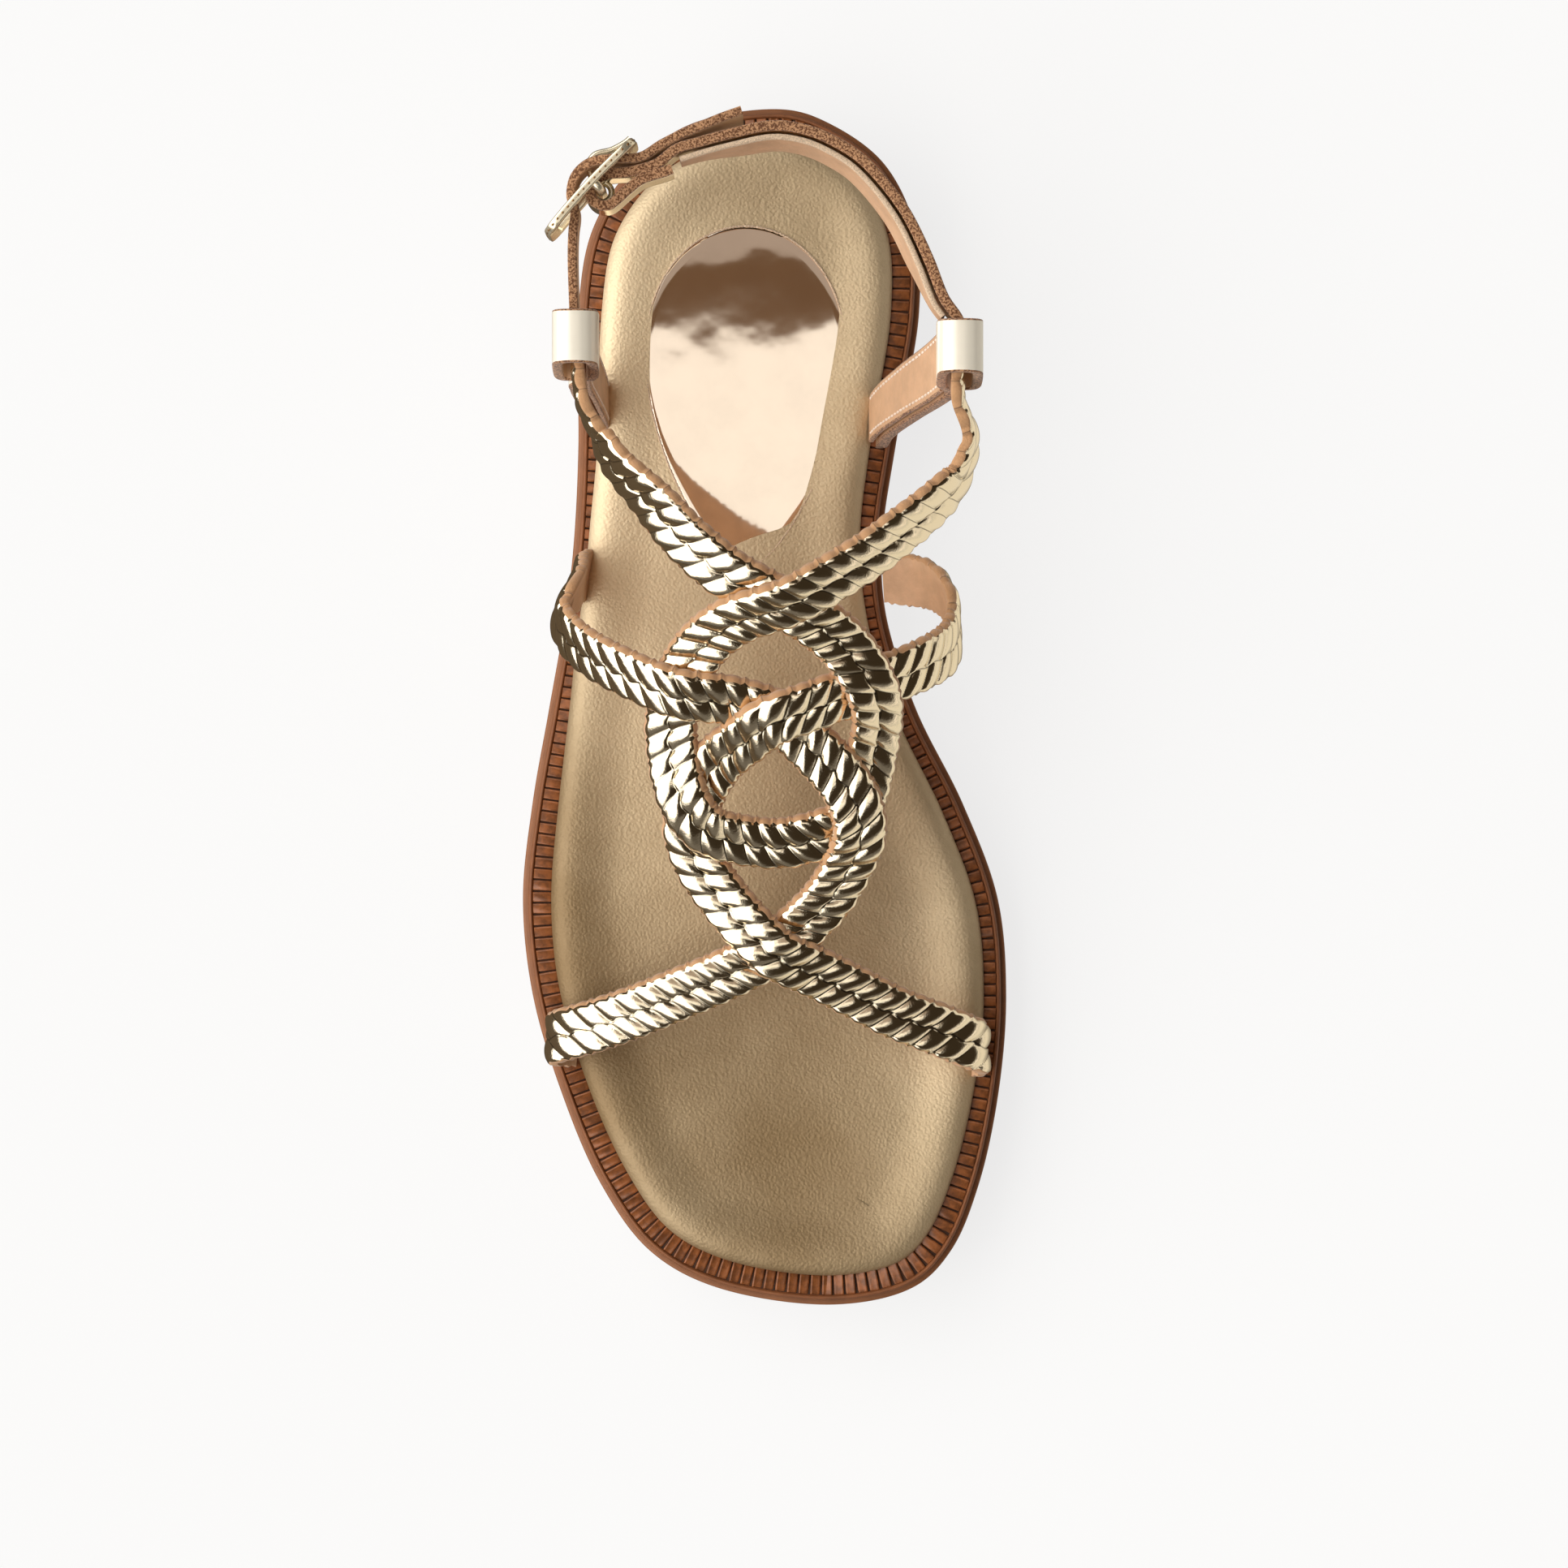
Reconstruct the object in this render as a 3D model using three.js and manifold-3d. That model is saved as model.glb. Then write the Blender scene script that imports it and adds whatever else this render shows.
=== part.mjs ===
// A girl's buckle sandal for the right foot, in millimetres.
// X runs to the inner side of the foot, Y from the toe to the heel, Z up.
// The origin is on the floor, in the middle of the sole's outline.
import * as THREE from "three";
import { mergeVertices } from "three/addons/utils/BufferGeometryUtils.js";
import Module from "manifold-3d";

const wasm = await Module();
wasm.setup();

// Driving dimensions
const soleLength = 216;
const soleWidth = 88;
const heelStack = 18;
const instepHeight = 70;
const clearance = 0.3;

const lipWidth = 1;
const lipHeight = 2;
const lipRound = 0.5;
const lipOverhang = 0.8;
const soleEdgeRound = 1.6;
const soleTaper = 1.4;

const weltMargin = 5.2;
const weltThickness = 2.2;
const weltTuck = 2.6;
const beadWidth = 1.3;
const beadStep = 0.4;

const insoleRise = 2.8;
const insoleDish = 1;
const dishMargin = 7;

const patchLength = 61;
const patchWidth = 36;
const patchThickness = 0.7;
const patchBack = 21.5;
const patchOffset = 3.4;
const patchRound = 0.36;
const patchPinch = 0.32;

const strapWall = 1.9;
const strapEdge = 1.5;
const strapWidth = 8.6;
const ropeRelief = 1.3;
const ropePitch = 3.9;
const lobeDip = 0.5;

const quarterWall = 2.2;
const sleeveWall = 1.8;
const sleeveLength = 11.4;
const quarterFoot = 8.8;

const ankleWall = 1.8;
const ankleWidth = 9.2;
const ankleHeight = 62.6;
const ankleRise = 0.05;
const ankleLean = 8;
const liningWall = 1;
const tailWall = 1.6;

const buckleLength = 22;
const buckleHeight = 15;
const buckleRail = 2.2;
const buckleCorner = 3;
const buckleThickness = 1.5;
const barRadius = 0.8;
const barRun = 0.9;
const barInset = 1.7;
const foldRadius = 2.5;
const foldSlack = 0.5;
const prongThickness = 1.1;

const grooveWidth = 1.8;
const grooveDepth = 1.3;
const groovePitch = 7.2;

const halfWidth = soleWidth / 2;
const stepsPerRow = 2;
const stepsPerPoint = 3;

// The sole's outline from heel to toe. along is a share of the sole's length, lateral and medial are
// shares of half its width, and the margins are shares of the welt's margin outside the insole.
const outlineRows = [
  { along: 0, lateral: 0.08, medial: 0.08, lateralMargin: 1.2, medialMargin: 1.2 },
  { along: 0.012, lateral: -0.3, medial: 0.27, lateralMargin: 1.15, medialMargin: 1.18 },
  { along: 0.045, lateral: -0.53, medial: 0.49, lateralMargin: 1, medialMargin: 1.12 },
  { along: 0.1, lateral: -0.705, medial: 0.62, lateralMargin: 0.92, medialMargin: 1.08 },
  { along: 0.17, lateral: -0.765, medial: 0.635, lateralMargin: 0.9, medialMargin: 1.05 },
  { along: 0.28, lateral: -0.765, medial: 0.54, lateralMargin: 0.75, medialMargin: 0.95 },
  { along: 0.36, lateral: -0.785, medial: 0.485, lateralMargin: 0.6, medialMargin: 0.85 },
  { along: 0.42, lateral: -0.82, medial: 0.5, lateralMargin: 0.6, medialMargin: 0.75 },
  { along: 0.5, lateral: -0.89, medial: 0.625, lateralMargin: 0.8, medialMargin: 0.8 },
  { along: 0.58, lateral: -0.96, medial: 0.82, lateralMargin: 1, medialMargin: 0.85 },
  { along: 0.66, lateral: -1, medial: 0.965, lateralMargin: 1.08, medialMargin: 0.87 },
  { along: 0.74, lateral: -0.96, medial: 1, lateralMargin: 1.05, medialMargin: 0.87 },
  { along: 0.82, lateral: -0.845, medial: 0.97, lateralMargin: 1.05, medialMargin: 0.95 },
  { along: 0.9, lateral: -0.675, medial: 0.885, lateralMargin: 1.1, medialMargin: 1.05 },
  { along: 0.955, lateral: -0.475, medial: 0.77, lateralMargin: 1.1, medialMargin: 1.1 },
  { along: 0.985, lateral: -0.21, medial: 0.62, lateralMargin: 1.12, medialMargin: 1.12 },
  { along: 1, lateral: 0.295, medial: 0.295, lateralMargin: 1.12, medialMargin: 1.12 },
];

// Heights of the sole's underside and top, as shares of the heel's stack.
const heightRows = [
  { along: 0, ground: 0.05, top: 1.03 },
  { along: 0.04, ground: 0, top: 1.02 },
  { along: 0.12, ground: 0, top: 1 },
  { along: 0.27, ground: 0, top: 0.9 },
  { along: 0.36, ground: 0.12, top: 0.8 },
  { along: 0.45, ground: 0.14, top: 0.69 },
  { along: 0.54, ground: 0, top: 0.58 },
  { along: 0.66, ground: 0, top: 0.53 },
  { along: 0.78, ground: 0, top: 0.56 },
  { along: 0.88, ground: 0.09, top: 0.65 },
  { along: 0.95, ground: 0.18, top: 0.74 },
  { along: 1, ground: 0.26, top: 0.83 },
];

// The last that the straps lie on. centre and half are shares of half the sole's width, and the
// heights are shares of the instep's height: widest, crown, and the outer and inner floors that the
// sides curl to.
const lastRows = [
  { along: 0.18, centre: 0.01, half: 0.71, widest: 0.91, crown: 1.27, outer: 0.1, inner: 0.14 },
  { along: 0.23, centre: 0.017, half: 0.715, widest: 0.895, crown: 1.215, outer: 0.1, inner: 0.15 },
  { along: 0.255, centre: 0.025, half: 0.71, widest: 0.885, crown: 1.185, outer: 0.1, inner: 0.15 },
  { along: 0.29, centre: 0.085, half: 0.705, widest: 0.82, crown: 1.13, outer: 0.1, inner: 0.17 },
  { along: 0.33, centre: 0.085, half: 0.69, widest: 0.7, crown: 1.055, outer: 0.1, inner: 0.2 },
  { along: 0.37, centre: 0.057, half: 0.714, widest: 0.6, crown: 0.99, outer: -0.25, inner: 0.23 },
  { along: 0.4, centre: 0.011, half: 0.74, widest: 0.53, crown: 0.94, outer: -0.35, inner: 0.23 },
  { along: 0.43, centre: -0.034, half: 0.775, widest: 0.457, crown: 0.877, outer: -0.35, inner: 0.22 },
  { along: 0.5, centre: 0, half: 0.782, widest: 0.4, crown: 0.75, outer: 0.1, inner: 0.15 },
  { along: 0.58, centre: 0.023, half: 0.805, widest: 0.343, crown: 0.62, outer: 0.1, inner: 0.1 },
  { along: 0.64, centre: 0.023, half: 0.816, widest: 0.3, crown: 0.534, outer: 0.1, inner: 0.1 },
  { along: 0.7, centre: 0.023, half: 0.816, widest: 0.271, crown: 0.463, outer: 0.1, inner: 0.1 },
  { along: 0.78, centre: 0.014, half: 0.81, widest: 0.243, crown: 0.384, outer: 0.1, inner: 0.1 },
  { along: 0.86, centre: 0.045, half: 0.748, widest: 0.229, crown: 0.327, outer: 0.1, inner: 0.1 },
];

// Routes of the four rope straps over the last. around is an angle in degrees from the crown, less
// than 0 on the outer side, and lift is 1 where a strap lies over another.
const routes = {
  outerToOuter: [
    { along: 0.388, around: -114, lift: 0 },
    { along: 0.396, around: -102, lift: 0 },
    { along: 0.412, around: -89, lift: 0 },
    { along: 0.437, around: -73, lift: 0 },
    { along: 0.453, around: -60, lift: 0 },
    { along: 0.47, around: -41, lift: 0.4 },
    { along: 0.484, around: -23, lift: 1 },
    { along: 0.494, around: -9, lift: 0.2 },
    { along: 0.507, around: 3, lift: 0 },
    { along: 0.53, around: 12, lift: 0 },
    { along: 0.558, around: 21, lift: 0.5 },
    { along: 0.58, around: 24.5, lift: 1 },
    { along: 0.602, around: 25, lift: 1 },
    { along: 0.626, around: 22.5, lift: 0.3 },
    { along: 0.655, around: 17, lift: 0 },
    { along: 0.682, around: 8, lift: 0 },
    { along: 0.701, around: 0, lift: 0 },
    { along: 0.721, around: -13, lift: 0 },
    { along: 0.738, around: -27.5, lift: 0 },
    { along: 0.753, around: -42, lift: 0 },
    { along: 0.765, around: -58, lift: 0 },
    { along: 0.773, around: -76, lift: 0 },
    { along: 0.778, around: -96, lift: 0 },
    { along: 0.78, around: -116, lift: 0 },
  ],
  innerToInner: [
    { along: 0.393, around: 146, lift: 0 },
    { along: 0.4, around: 122, lift: 0 },
    { along: 0.42, around: 98, lift: 0 },
    { along: 0.449, around: 77, lift: 0 },
    { along: 0.467, around: 54, lift: 0 },
    { along: 0.484, around: 31, lift: 0 },
    { along: 0.496, around: 15, lift: 0.4 },
    { along: 0.506, around: 2, lift: 1 },
    { along: 0.524, around: -6, lift: 0.5 },
    { along: 0.545, around: -14.5, lift: 0 },
    { along: 0.572, around: -20.5, lift: 0 },
    { along: 0.6, around: -23.2, lift: 0 },
    { along: 0.625, around: -20.5, lift: 0 },
    { along: 0.654, around: -13.5, lift: 0.2 },
    { along: 0.68, around: -5, lift: 0.8 },
    { along: 0.699, around: 2, lift: 1 },
    { along: 0.717, around: 13, lift: 0.3 },
    { along: 0.735, around: 25, lift: 0 },
    { along: 0.752, around: 38, lift: 0 },
    { along: 0.766, around: 54, lift: 0 },
    { along: 0.778, around: 72, lift: 0 },
    { along: 0.786, around: 94, lift: 0 },
    { along: 0.789, around: 114, lift: 0 },
  ],
  innerSleeve: [
    { along: 0.227, around: 90, lift: 0 },
    { along: 0.25, around: 89, lift: 0 },
    { along: 0.286, around: 84, lift: 0 },
    { along: 0.315, around: 73, lift: 0 },
    { along: 0.338, around: 56, lift: 0 },
    { along: 0.36, around: 41, lift: 0 },
    { along: 0.384, around: 26, lift: 0.3 },
    { along: 0.411, around: 7, lift: 1 },
    { along: 0.428, around: -5, lift: 0.5 },
    { along: 0.45, around: -15, lift: 0 },
    { along: 0.475, around: -22.5, lift: 0 },
    { along: 0.505, around: -27.3, lift: 0 },
    { along: 0.535, around: -27.5, lift: 0.3 },
    { along: 0.57, around: -24, lift: 1 },
    { along: 0.594, around: -18, lift: 0.8 },
    { along: 0.608, around: -7, lift: 0.1 },
    { along: 0.611, around: 3, lift: 0 },
    { along: 0.605, around: 13, lift: 0 },
    { along: 0.596, around: 22, lift: 0 },
  ],
  outerSleeve: [
    { along: 0.225, around: -90, lift: 0 },
    { along: 0.25, around: -89, lift: 0 },
    { along: 0.28, around: -83, lift: 0 },
    { along: 0.303, around: -69, lift: 0 },
    { along: 0.324, around: -55, lift: 0 },
    { along: 0.348, around: -41, lift: 0 },
    { along: 0.371, around: -28, lift: 0 },
    { along: 0.393, around: -14, lift: 0 },
    { along: 0.412, around: 2, lift: 0 },
    { along: 0.43, around: 16, lift: 0 },
    { along: 0.452, around: 26, lift: 0.3 },
    { along: 0.478, around: 31, lift: 1 },
    { along: 0.503, around: 33, lift: 0.7 },
    { along: 0.528, around: 32, lift: 0.1 },
    { along: 0.555, around: 29, lift: 0 },
    { along: 0.582, around: 25.5, lift: 0 },
  ],
};

// Side straps in the plane across the foot. across is a share of half the sole's width, and height
// is a share of the instep's height. The strap ends in the wall of its sleeve.
const quarterRows = {
  lateral: [
    { across: -0.69, height: 0.2 },
    { across: -0.7, height: 0.36 },
    { across: -0.725, height: 0.56 },
    { across: -0.745, height: 0.72 },
    { across: -0.745, height: 0.82 },
  ],
  medial: [
    { across: 0.47, height: 0.2 },
    { across: 0.5, height: 0.34 },
    { across: 0.6, height: 0.53 },
    { across: 0.71, height: 0.7 },
    { across: 0.765, height: 0.81 },
  ],
};
// foot and head are shares of the sole's length, where the strap leaves the sole and where its
// sleeve has its middle. across is the sleeve's middle, a share of half the sole's width.
const sleeves = {
  lateral: { foot: 0.25, head: 0.2135, across: -0.735 },
  medial: { foot: 0.262, head: 0.221, across: 0.768 },
};

// Plan of the ankle strap from the inner sleeve round the heel, as shares like the outline's.
const ankleRows = [
  { across: 0.77, along: 0.2153 },
  { across: 0.765, along: 0.197 },
  { across: 0.7, along: 0.1775 },
  { across: 0.634, along: 0.1486 },
  { across: 0.532, along: 0.108 },
  { across: 0.38, along: 0.0713 },
  { across: 0.277, along: 0.0574 },
  { across: 0.177, along: 0.0486 },
  { across: 0.05, along: 0.0445 },
  { across: -0.11, along: 0.0493 },
  { across: -0.24, along: 0.0545 },
];

// Plan of the buckle's strap from the outer sleeve as far as the buckle.
const frontRows = [
  { across: sleeves.lateral.across, along: 0.2115 },
  { across: sleeves.lateral.across - 0.004, along: 0.1835 },
];

// The buckle stands on the outer side of the heel, turned to the strap's run.
const bucklePlace = { across: -0.673, along: 0.0903, turn: 47 };

// Routes through the buckle from its middle: run towards the heel and out from the foot, both as
// shares of half the buckle's length.
const foldRows = [
  { run: 1.355, out: -0.582 },
  { run: 0.973, out: -0.509 },
  { run: 0.6, out: -0.291 },
  { run: 0.327, out: -0.064 },
];
const foldedRows = [
  { run: 0.355, out: -0.45 },
  { run: 0.636, out: -0.5 },
  { run: 0.964, out: -0.682 },
  { run: 1.073, out: -0.736 },
];
const tailRows = [
  { run: -0.973, out: -0.518 },
  { run: -0.682, out: -0.264 },
  { run: -0.445, out: -0.082 },
  { run: -0.291, out: 0.145 },
  { run: -0.036, out: 0.291 },
  { run: 0.255, out: 0.273 },
  { run: 0.527, out: 0.082 },
  { run: 0.873, out: -0.25 },
  { run: 1.245, out: -0.359 },
  { run: 1.618, out: -0.5 },
  { run: 2.109, out: -0.745 },
  { run: 2.445, out: -0.945 },
];

// The prong, in the same terms: from the bar out through both straps and on to the far rail.
const prongRows = [
  { run: 0.082, out: -0.055 },
  { run: 0.145, out: 0.127 },
  { run: 0.264, out: 0.336 },
  { run: 0.436, out: 0.373 },
  { run: 0.673, out: 0.273 },
  { run: 0.909, out: 0.155 },
  { run: 1, out: 0.145 },
];

// A column of a table at a share of its key, smooth and without overshoot.
function lookUp(table, column, value, key = "along") {
  const last = table.length - 1;
  const share = Math.min(Math.max(value, table[0][key]), table[last][key]);
  let row = 0;
  while (row < last - 1 && share > table[row + 1][key]) row += 1;
  const slope = (k) => {
    const from = table[Math.min(Math.max(k, 0), last - 1)];
    const to = table[Math.min(Math.max(k, 0), last - 1) + 1];
    return (to[column] - from[column]) / (to[key] - from[key]);
  };
  const steepness = (k) => {
    const before = slope(k - 1);
    const after = slope(k);
    return before * after > 0 ? (2 * before * after) / (before + after) : 0;
  };
  const from = table[row];
  const to = table[row + 1];
  const step = to[key] - from[key];
  const t = (share - from[key]) / step;
  const rise = to[column] - from[column];
  const start = steepness(row) * step;
  const end = steepness(row + 1) * step;
  return from[column] + t * (start + t * (3 * rise - 2 * start - end + t * (start + end - 2 * rise)));
}

const alongAt = (y) => 0.5 - y / soleLength;
const yAt = (along) => (0.5 - along) * soleLength;
const groundAt = (y) => heelStack * lookUp(heightRows, "ground", alongAt(y));
const soleTopAt = (y) => heelStack * lookUp(heightRows, "top", alongAt(y));

// Geometry and solids

function geometryOf(points, faces) {
  const geometry = new THREE.BufferGeometry();
  const position = new Float32Array(points.flatMap((p) => [p.x, p.y, p.z]));
  geometry.setAttribute("position", new THREE.BufferAttribute(position, 3));
  geometry.setIndex(faces);
  return geometry;
}

function solidOf(source) {
  const bare = source.clone();
  bare.deleteAttribute("normal");
  bare.deleteAttribute("uv");
  const merged = mergeVertices(bare, 1e-4);
  const vertProperties = new Float32Array(merged.attributes.position.array);
  const triVerts = new Uint32Array(merged.index.array);
  return new wasm.Manifold(new wasm.Mesh({ numProp: 3, vertProperties, triVerts }));
}

function meshOf(name, solid, material) {
  const data = solid.getMesh();
  const geometry = new THREE.BufferGeometry();
  geometry.setAttribute("position", new THREE.BufferAttribute(data.vertProperties, 3));
  geometry.setIndex(new THREE.BufferAttribute(data.triVerts, 1));
  geometry.computeVertexNormals();
  const mesh = new THREE.Mesh(geometry, material);
  mesh.name = name;
  return mesh;
}

// Faces between neighbouring rings of equal length, each ring closed on itself.
function ringFaces(ringCount, size, joined) {
  const faces = [];
  const spans = joined ? ringCount : ringCount - 1;
  for (let ring = 0; ring < spans; ring += 1) {
    const here = ring * size;
    const there = ((ring + 1) % ringCount) * size;
    for (let i = 0; i < size; i += 1) {
      const next = (i + 1) % size;
      faces.push(here + i, here + next, there + next);
      faces.push(here + i, there + next, there + i);
    }
  }
  return faces;
}

// A fan that closes a ring from one of its points.
function fanFaces(first, size, apex, reversed) {
  const faces = [];
  for (let i = 1; i < size - 1; i += 1) {
    const a = first + ((apex + i) % size);
    const b = first + ((apex + i + 1) % size);
    faces.push(first + apex, reversed ? b : a, reversed ? a : b);
  }
  return faces;
}

// A ladder of faces that closes an outline between its two long sides.
function ladderFaces(first, size, reversed) {
  const faces = [];
  const push = (a, b, c) => faces.push(a, reversed ? c : b, reversed ? b : c);
  const half = size / 2;
  for (let i = 0; i < half; i += 1) {
    const a = first + i;
    const b = first + i + 1;
    const c = first + size - i - 1;
    const d = first + ((size - i) % size);
    if (i < half - 1) push(a, b, c);
    else push(a, b, d);
    if (i > 0 && i < half - 1) push(a, c, d);
  }
  return faces;
}

// Outline of the sole

// From the heel down the outer side to the toe, and back up the inner side.
const medialRows = outlineRows.slice(1, -1).reverse();
const outlineCurve = new THREE.CatmullRomCurve3(
  [
    ...outlineRows.map((row) => new THREE.Vector3(row.lateral * halfWidth, yAt(row.along), 0)),
    ...medialRows.map((row) => new THREE.Vector3(row.medial * halfWidth, yAt(row.along), 0)),
  ],
  true,
);
outlineCurve.arcLengthDivisions = 1200;

// A place on the outline: its point, the direction inwards and the insole's margin there.
function placeOn(point, tangent) {
  const inward = new THREE.Vector3(-tangent.y, tangent.x, 0).normalize();
  const column = tangent.y > 0 ? "medialMargin" : "lateralMargin";
  const margin = weltMargin * lookUp(outlineRows, column, alongAt(point.y));
  return { point, inward, margin };
}

const outlineSteps = stepsPerRow * 2 * (outlineRows.length - 1);
const outlinePlaces = Array.from({ length: outlineSteps }, (_, i) => {
  const u = i / outlineSteps;
  return placeOn(outlineCurve.getPoint(u), outlineCurve.getTangent(u));
});

// One level of a stacked solid: every place moved inwards, at a height worked out from its y.
function level(insetAt, heightAt) {
  return outlinePlaces.map((place) => {
    const p = place.point.clone().addScaledVector(place.inward, insetAt(place));
    p.z = heightAt(p.y);
    return p;
  });
}

// A solid of levels from the lowest to the highest, each running anticlockwise.
function stack(levels) {
  const size = levels[0].length;
  const faces = [
    ...ladderFaces(0, size, true),
    ...ringFaces(levels.length, size, false),
    ...ladderFaces((levels.length - 1) * size, size, false),
  ];
  return solidOf(geometryOf(levels.flat(), faces));
}

// Outsole

// Grooves across the underside, as many as fit between two shares of the length.
function tread(from, to) {
  const length = (to - from) * soleLength;
  const count = Math.floor(length / groovePitch);
  const start = yAt((from + to) / 2) - ((count - 1) / 2) * groovePitch;
  const sideMargin = weltMargin + soleTaper;
  return Array.from({ length: count }, (_, i) => {
    const y = start + i * groovePitch;
    const left = halfWidth * lookUp(outlineRows, "lateral", alongAt(y)) + sideMargin;
    const right = halfWidth * lookUp(outlineRows, "medial", alongAt(y)) - sideMargin;
    const box = new THREE.BoxGeometry(right - left, grooveWidth, 2 * grooveDepth);
    box.translate((left + right) / 2, y, 0);
    return solidOf(box);
  });
}

function makeOutsole() {
  const body = stack([
    level(() => soleTaper + soleEdgeRound, groundAt),
    level(() => soleTaper, (y) => groundAt(y) + soleEdgeRound),
    level(() => lipOverhang, (y) => soleTopAt(y) - 2 * lipHeight),
    level(() => 0, (y) => soleTopAt(y) - lipHeight),
    level(() => 0, (y) => soleTopAt(y) - lipRound),
    level(() => lipRound, soleTopAt),
  ]);
  const grooves = [...tread(0.06, 0.24), ...tread(0.57, 0.76)];
  return grooves.reduce((solid, groove) => solid.subtract(groove), body);
}

// Welt

function makeWelt() {
  const rings = outlinePlaces.map((place) => {
    const inner = place.margin + weltTuck;
    const profile = [
      [inner, clearance],
      [inner, weltThickness],
      [lipWidth + beadWidth, weltThickness],
      [lipWidth + beadWidth / 3, weltThickness - beadStep],
      [lipWidth, clearance],
    ];
    return profile.map(([inset, height]) => {
      const p = place.point.clone().addScaledVector(place.inward, inset);
      p.z = soleTopAt(p.y) + height;
      return p;
    });
  });
  const faces = ringFaces(rings.length, rings[0].length, true);
  return solidOf(geometryOf(rings.flat(), faces));
}

// Insole

const weltTopAt = (y) => soleTopAt(y) + weltThickness;
const insoleRimAt = (y) => weltTopAt(y) + insoleRise;
const insoleBedAt = (y) => insoleRimAt(y) - insoleDish;

function makeInsole() {
  const tuck = weltTuck + clearance;
  const round = insoleRise / 3;
  return stack([
    level((place) => place.margin + tuck, (y) => soleTopAt(y) + clearance),
    level((place) => place.margin + tuck, (y) => weltTopAt(y) + clearance),
    level((place) => place.margin + clearance, (y) => weltTopAt(y) + clearance),
    level((place) => place.margin, (y) => weltTopAt(y) + round),
    level((place) => place.margin + 0.5 * round, (y) => insoleRimAt(y) - 0.7 * round),
    level((place) => place.margin + 1.8 * round, insoleRimAt),
    level((place) => place.margin + dishMargin, insoleBedAt),
  ]);
}

// Patch in the heel of the insole: round at the back, drawn out to a point towards the toe. The
// round share of its length lies behind its widest place, and the pinch narrows it in front.

function makePatch(grow, floor, roof) {
  const steps = 40;
  const points = [];
  const middle = yAt(0) - patchBack - patchLength * patchRound;
  for (let i = 0; i < steps; i += 1) {
    const angle = (2 * Math.PI * i) / steps;
    const toToe = Math.cos(angle) < 0;
    const reach = patchLength * (toToe ? 1 - patchRound : patchRound);
    const pinch = toToe ? 1 - patchPinch * Math.cos(angle) ** 2 : 1;
    const x = -(patchWidth / 2 + grow) * Math.sin(angle) * pinch - patchOffset;
    const y = middle + (reach + grow) * Math.cos(angle);
    points.push(new THREE.Vector3(x, y, 0));
  }
  const lower = points.map((p) => new THREE.Vector3(p.x, p.y, floor(p.y)));
  const upper = points.map((p) => new THREE.Vector3(p.x, p.y, roof(p.y)));
  return stack([lower, upper]);
}

// Rope straps

const degrees = Math.PI / 180;

function lastPoint(along, around) {
  const row = (column) => lookUp(lastRows, column, along);
  const angle = around * degrees;
  const widest = row("widest") * instepHeight;
  const floor = (around < 0 ? row("outer") : row("inner")) * instepHeight;
  const height = Math.abs(around) <= 90 ? row("crown") * instepHeight - widest : widest - floor;
  const x = halfWidth * (row("centre") + row("half") * Math.sin(angle));
  return new THREE.Vector3(x, yAt(along), widest + height * Math.cos(angle));
}

function lastNormal(along, around) {
  const step = 0.004;
  const turn = 1;
  const down = lastPoint(along + step, around).sub(lastPoint(along - step, around));
  const side = lastPoint(along, around + turn).sub(lastPoint(along, around - turn));
  return down.cross(side).normalize();
}

// The length of one degree round the last, near enough to space a rope's lobes evenly.
const lastShare = 0.8;
const degreeLength = lastShare * halfWidth * degrees;
const overLift = strapWall + 0.5 * ropeRelief;

// A strap of two ropes side by side. Each ring is a section, and the ropes' crests rise and dip in
// turn as their lobes do.
function strap(route, grow) {
  const path = new THREE.CatmullRomCurve3(
    route.map((row) => {
      const lift = row.lift * overLift;
      return new THREE.Vector3(row.along * soleLength, row.around * degreeLength, lift);
    }),
  );
  const lobes = Math.round(path.getLength() / ropePitch);
  const steps = 2 * lobes;
  const spine = path.getSpacedPoints(steps).map((q) => {
    const along = q.x / soleLength;
    const around = q.y / degreeLength;
    const up = lastNormal(along, around);
    const point = lastPoint(along, around).addScaledVector(up, q.z);
    return { point, up };
  });
  const rings = spine.map(({ point, up }, i) => {
    const before = spine[Math.max(i - 1, 0)].point;
    const after = spine[Math.min(i + 1, steps)].point;
    const ahead = after.clone().sub(before).normalize();
    const side = ahead.clone().cross(up).normalize();
    const end = (i === steps ? grow : 0) - (i === 0 ? grow : 0);
    const middle = point.clone().addScaledVector(ahead, end);
    const half = strapWidth / 2 + grow;
    const crest = strapWall + ropeRelief + grow;
    const left = crest - (i % 2 ? lobeDip : 0);
    const right = crest - (i % 2 ? 0 : lobeDip);
    const profile = [
      [0, strapWall + grow],
      [half / 2, right],
      [half, strapEdge + grow],
      [half, -grow],
      [-half, -grow],
      [-half, strapEdge + grow],
      [-half / 2, left],
    ];
    return profile.map(([across, height]) => {
      return middle.clone().addScaledVector(side, across).addScaledVector(up, height);
    });
  });
  const size = rings[0].length;
  const faces = [
    ...fanFaces(0, size, 0, true),
    ...ringFaces(rings.length, size, false),
    ...fanFaces((rings.length - 1) * size, size, 0, false),
  ];
  return solidOf(geometryOf(rings.flat(), faces));
}

// A strip of even wall along points in a plane, extruded to its width.

function sampled(points) {
  const curve = new THREE.CatmullRomCurve3(points);
  return curve.getPoints(stepsPerPoint * (points.length - 1));
}

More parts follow.
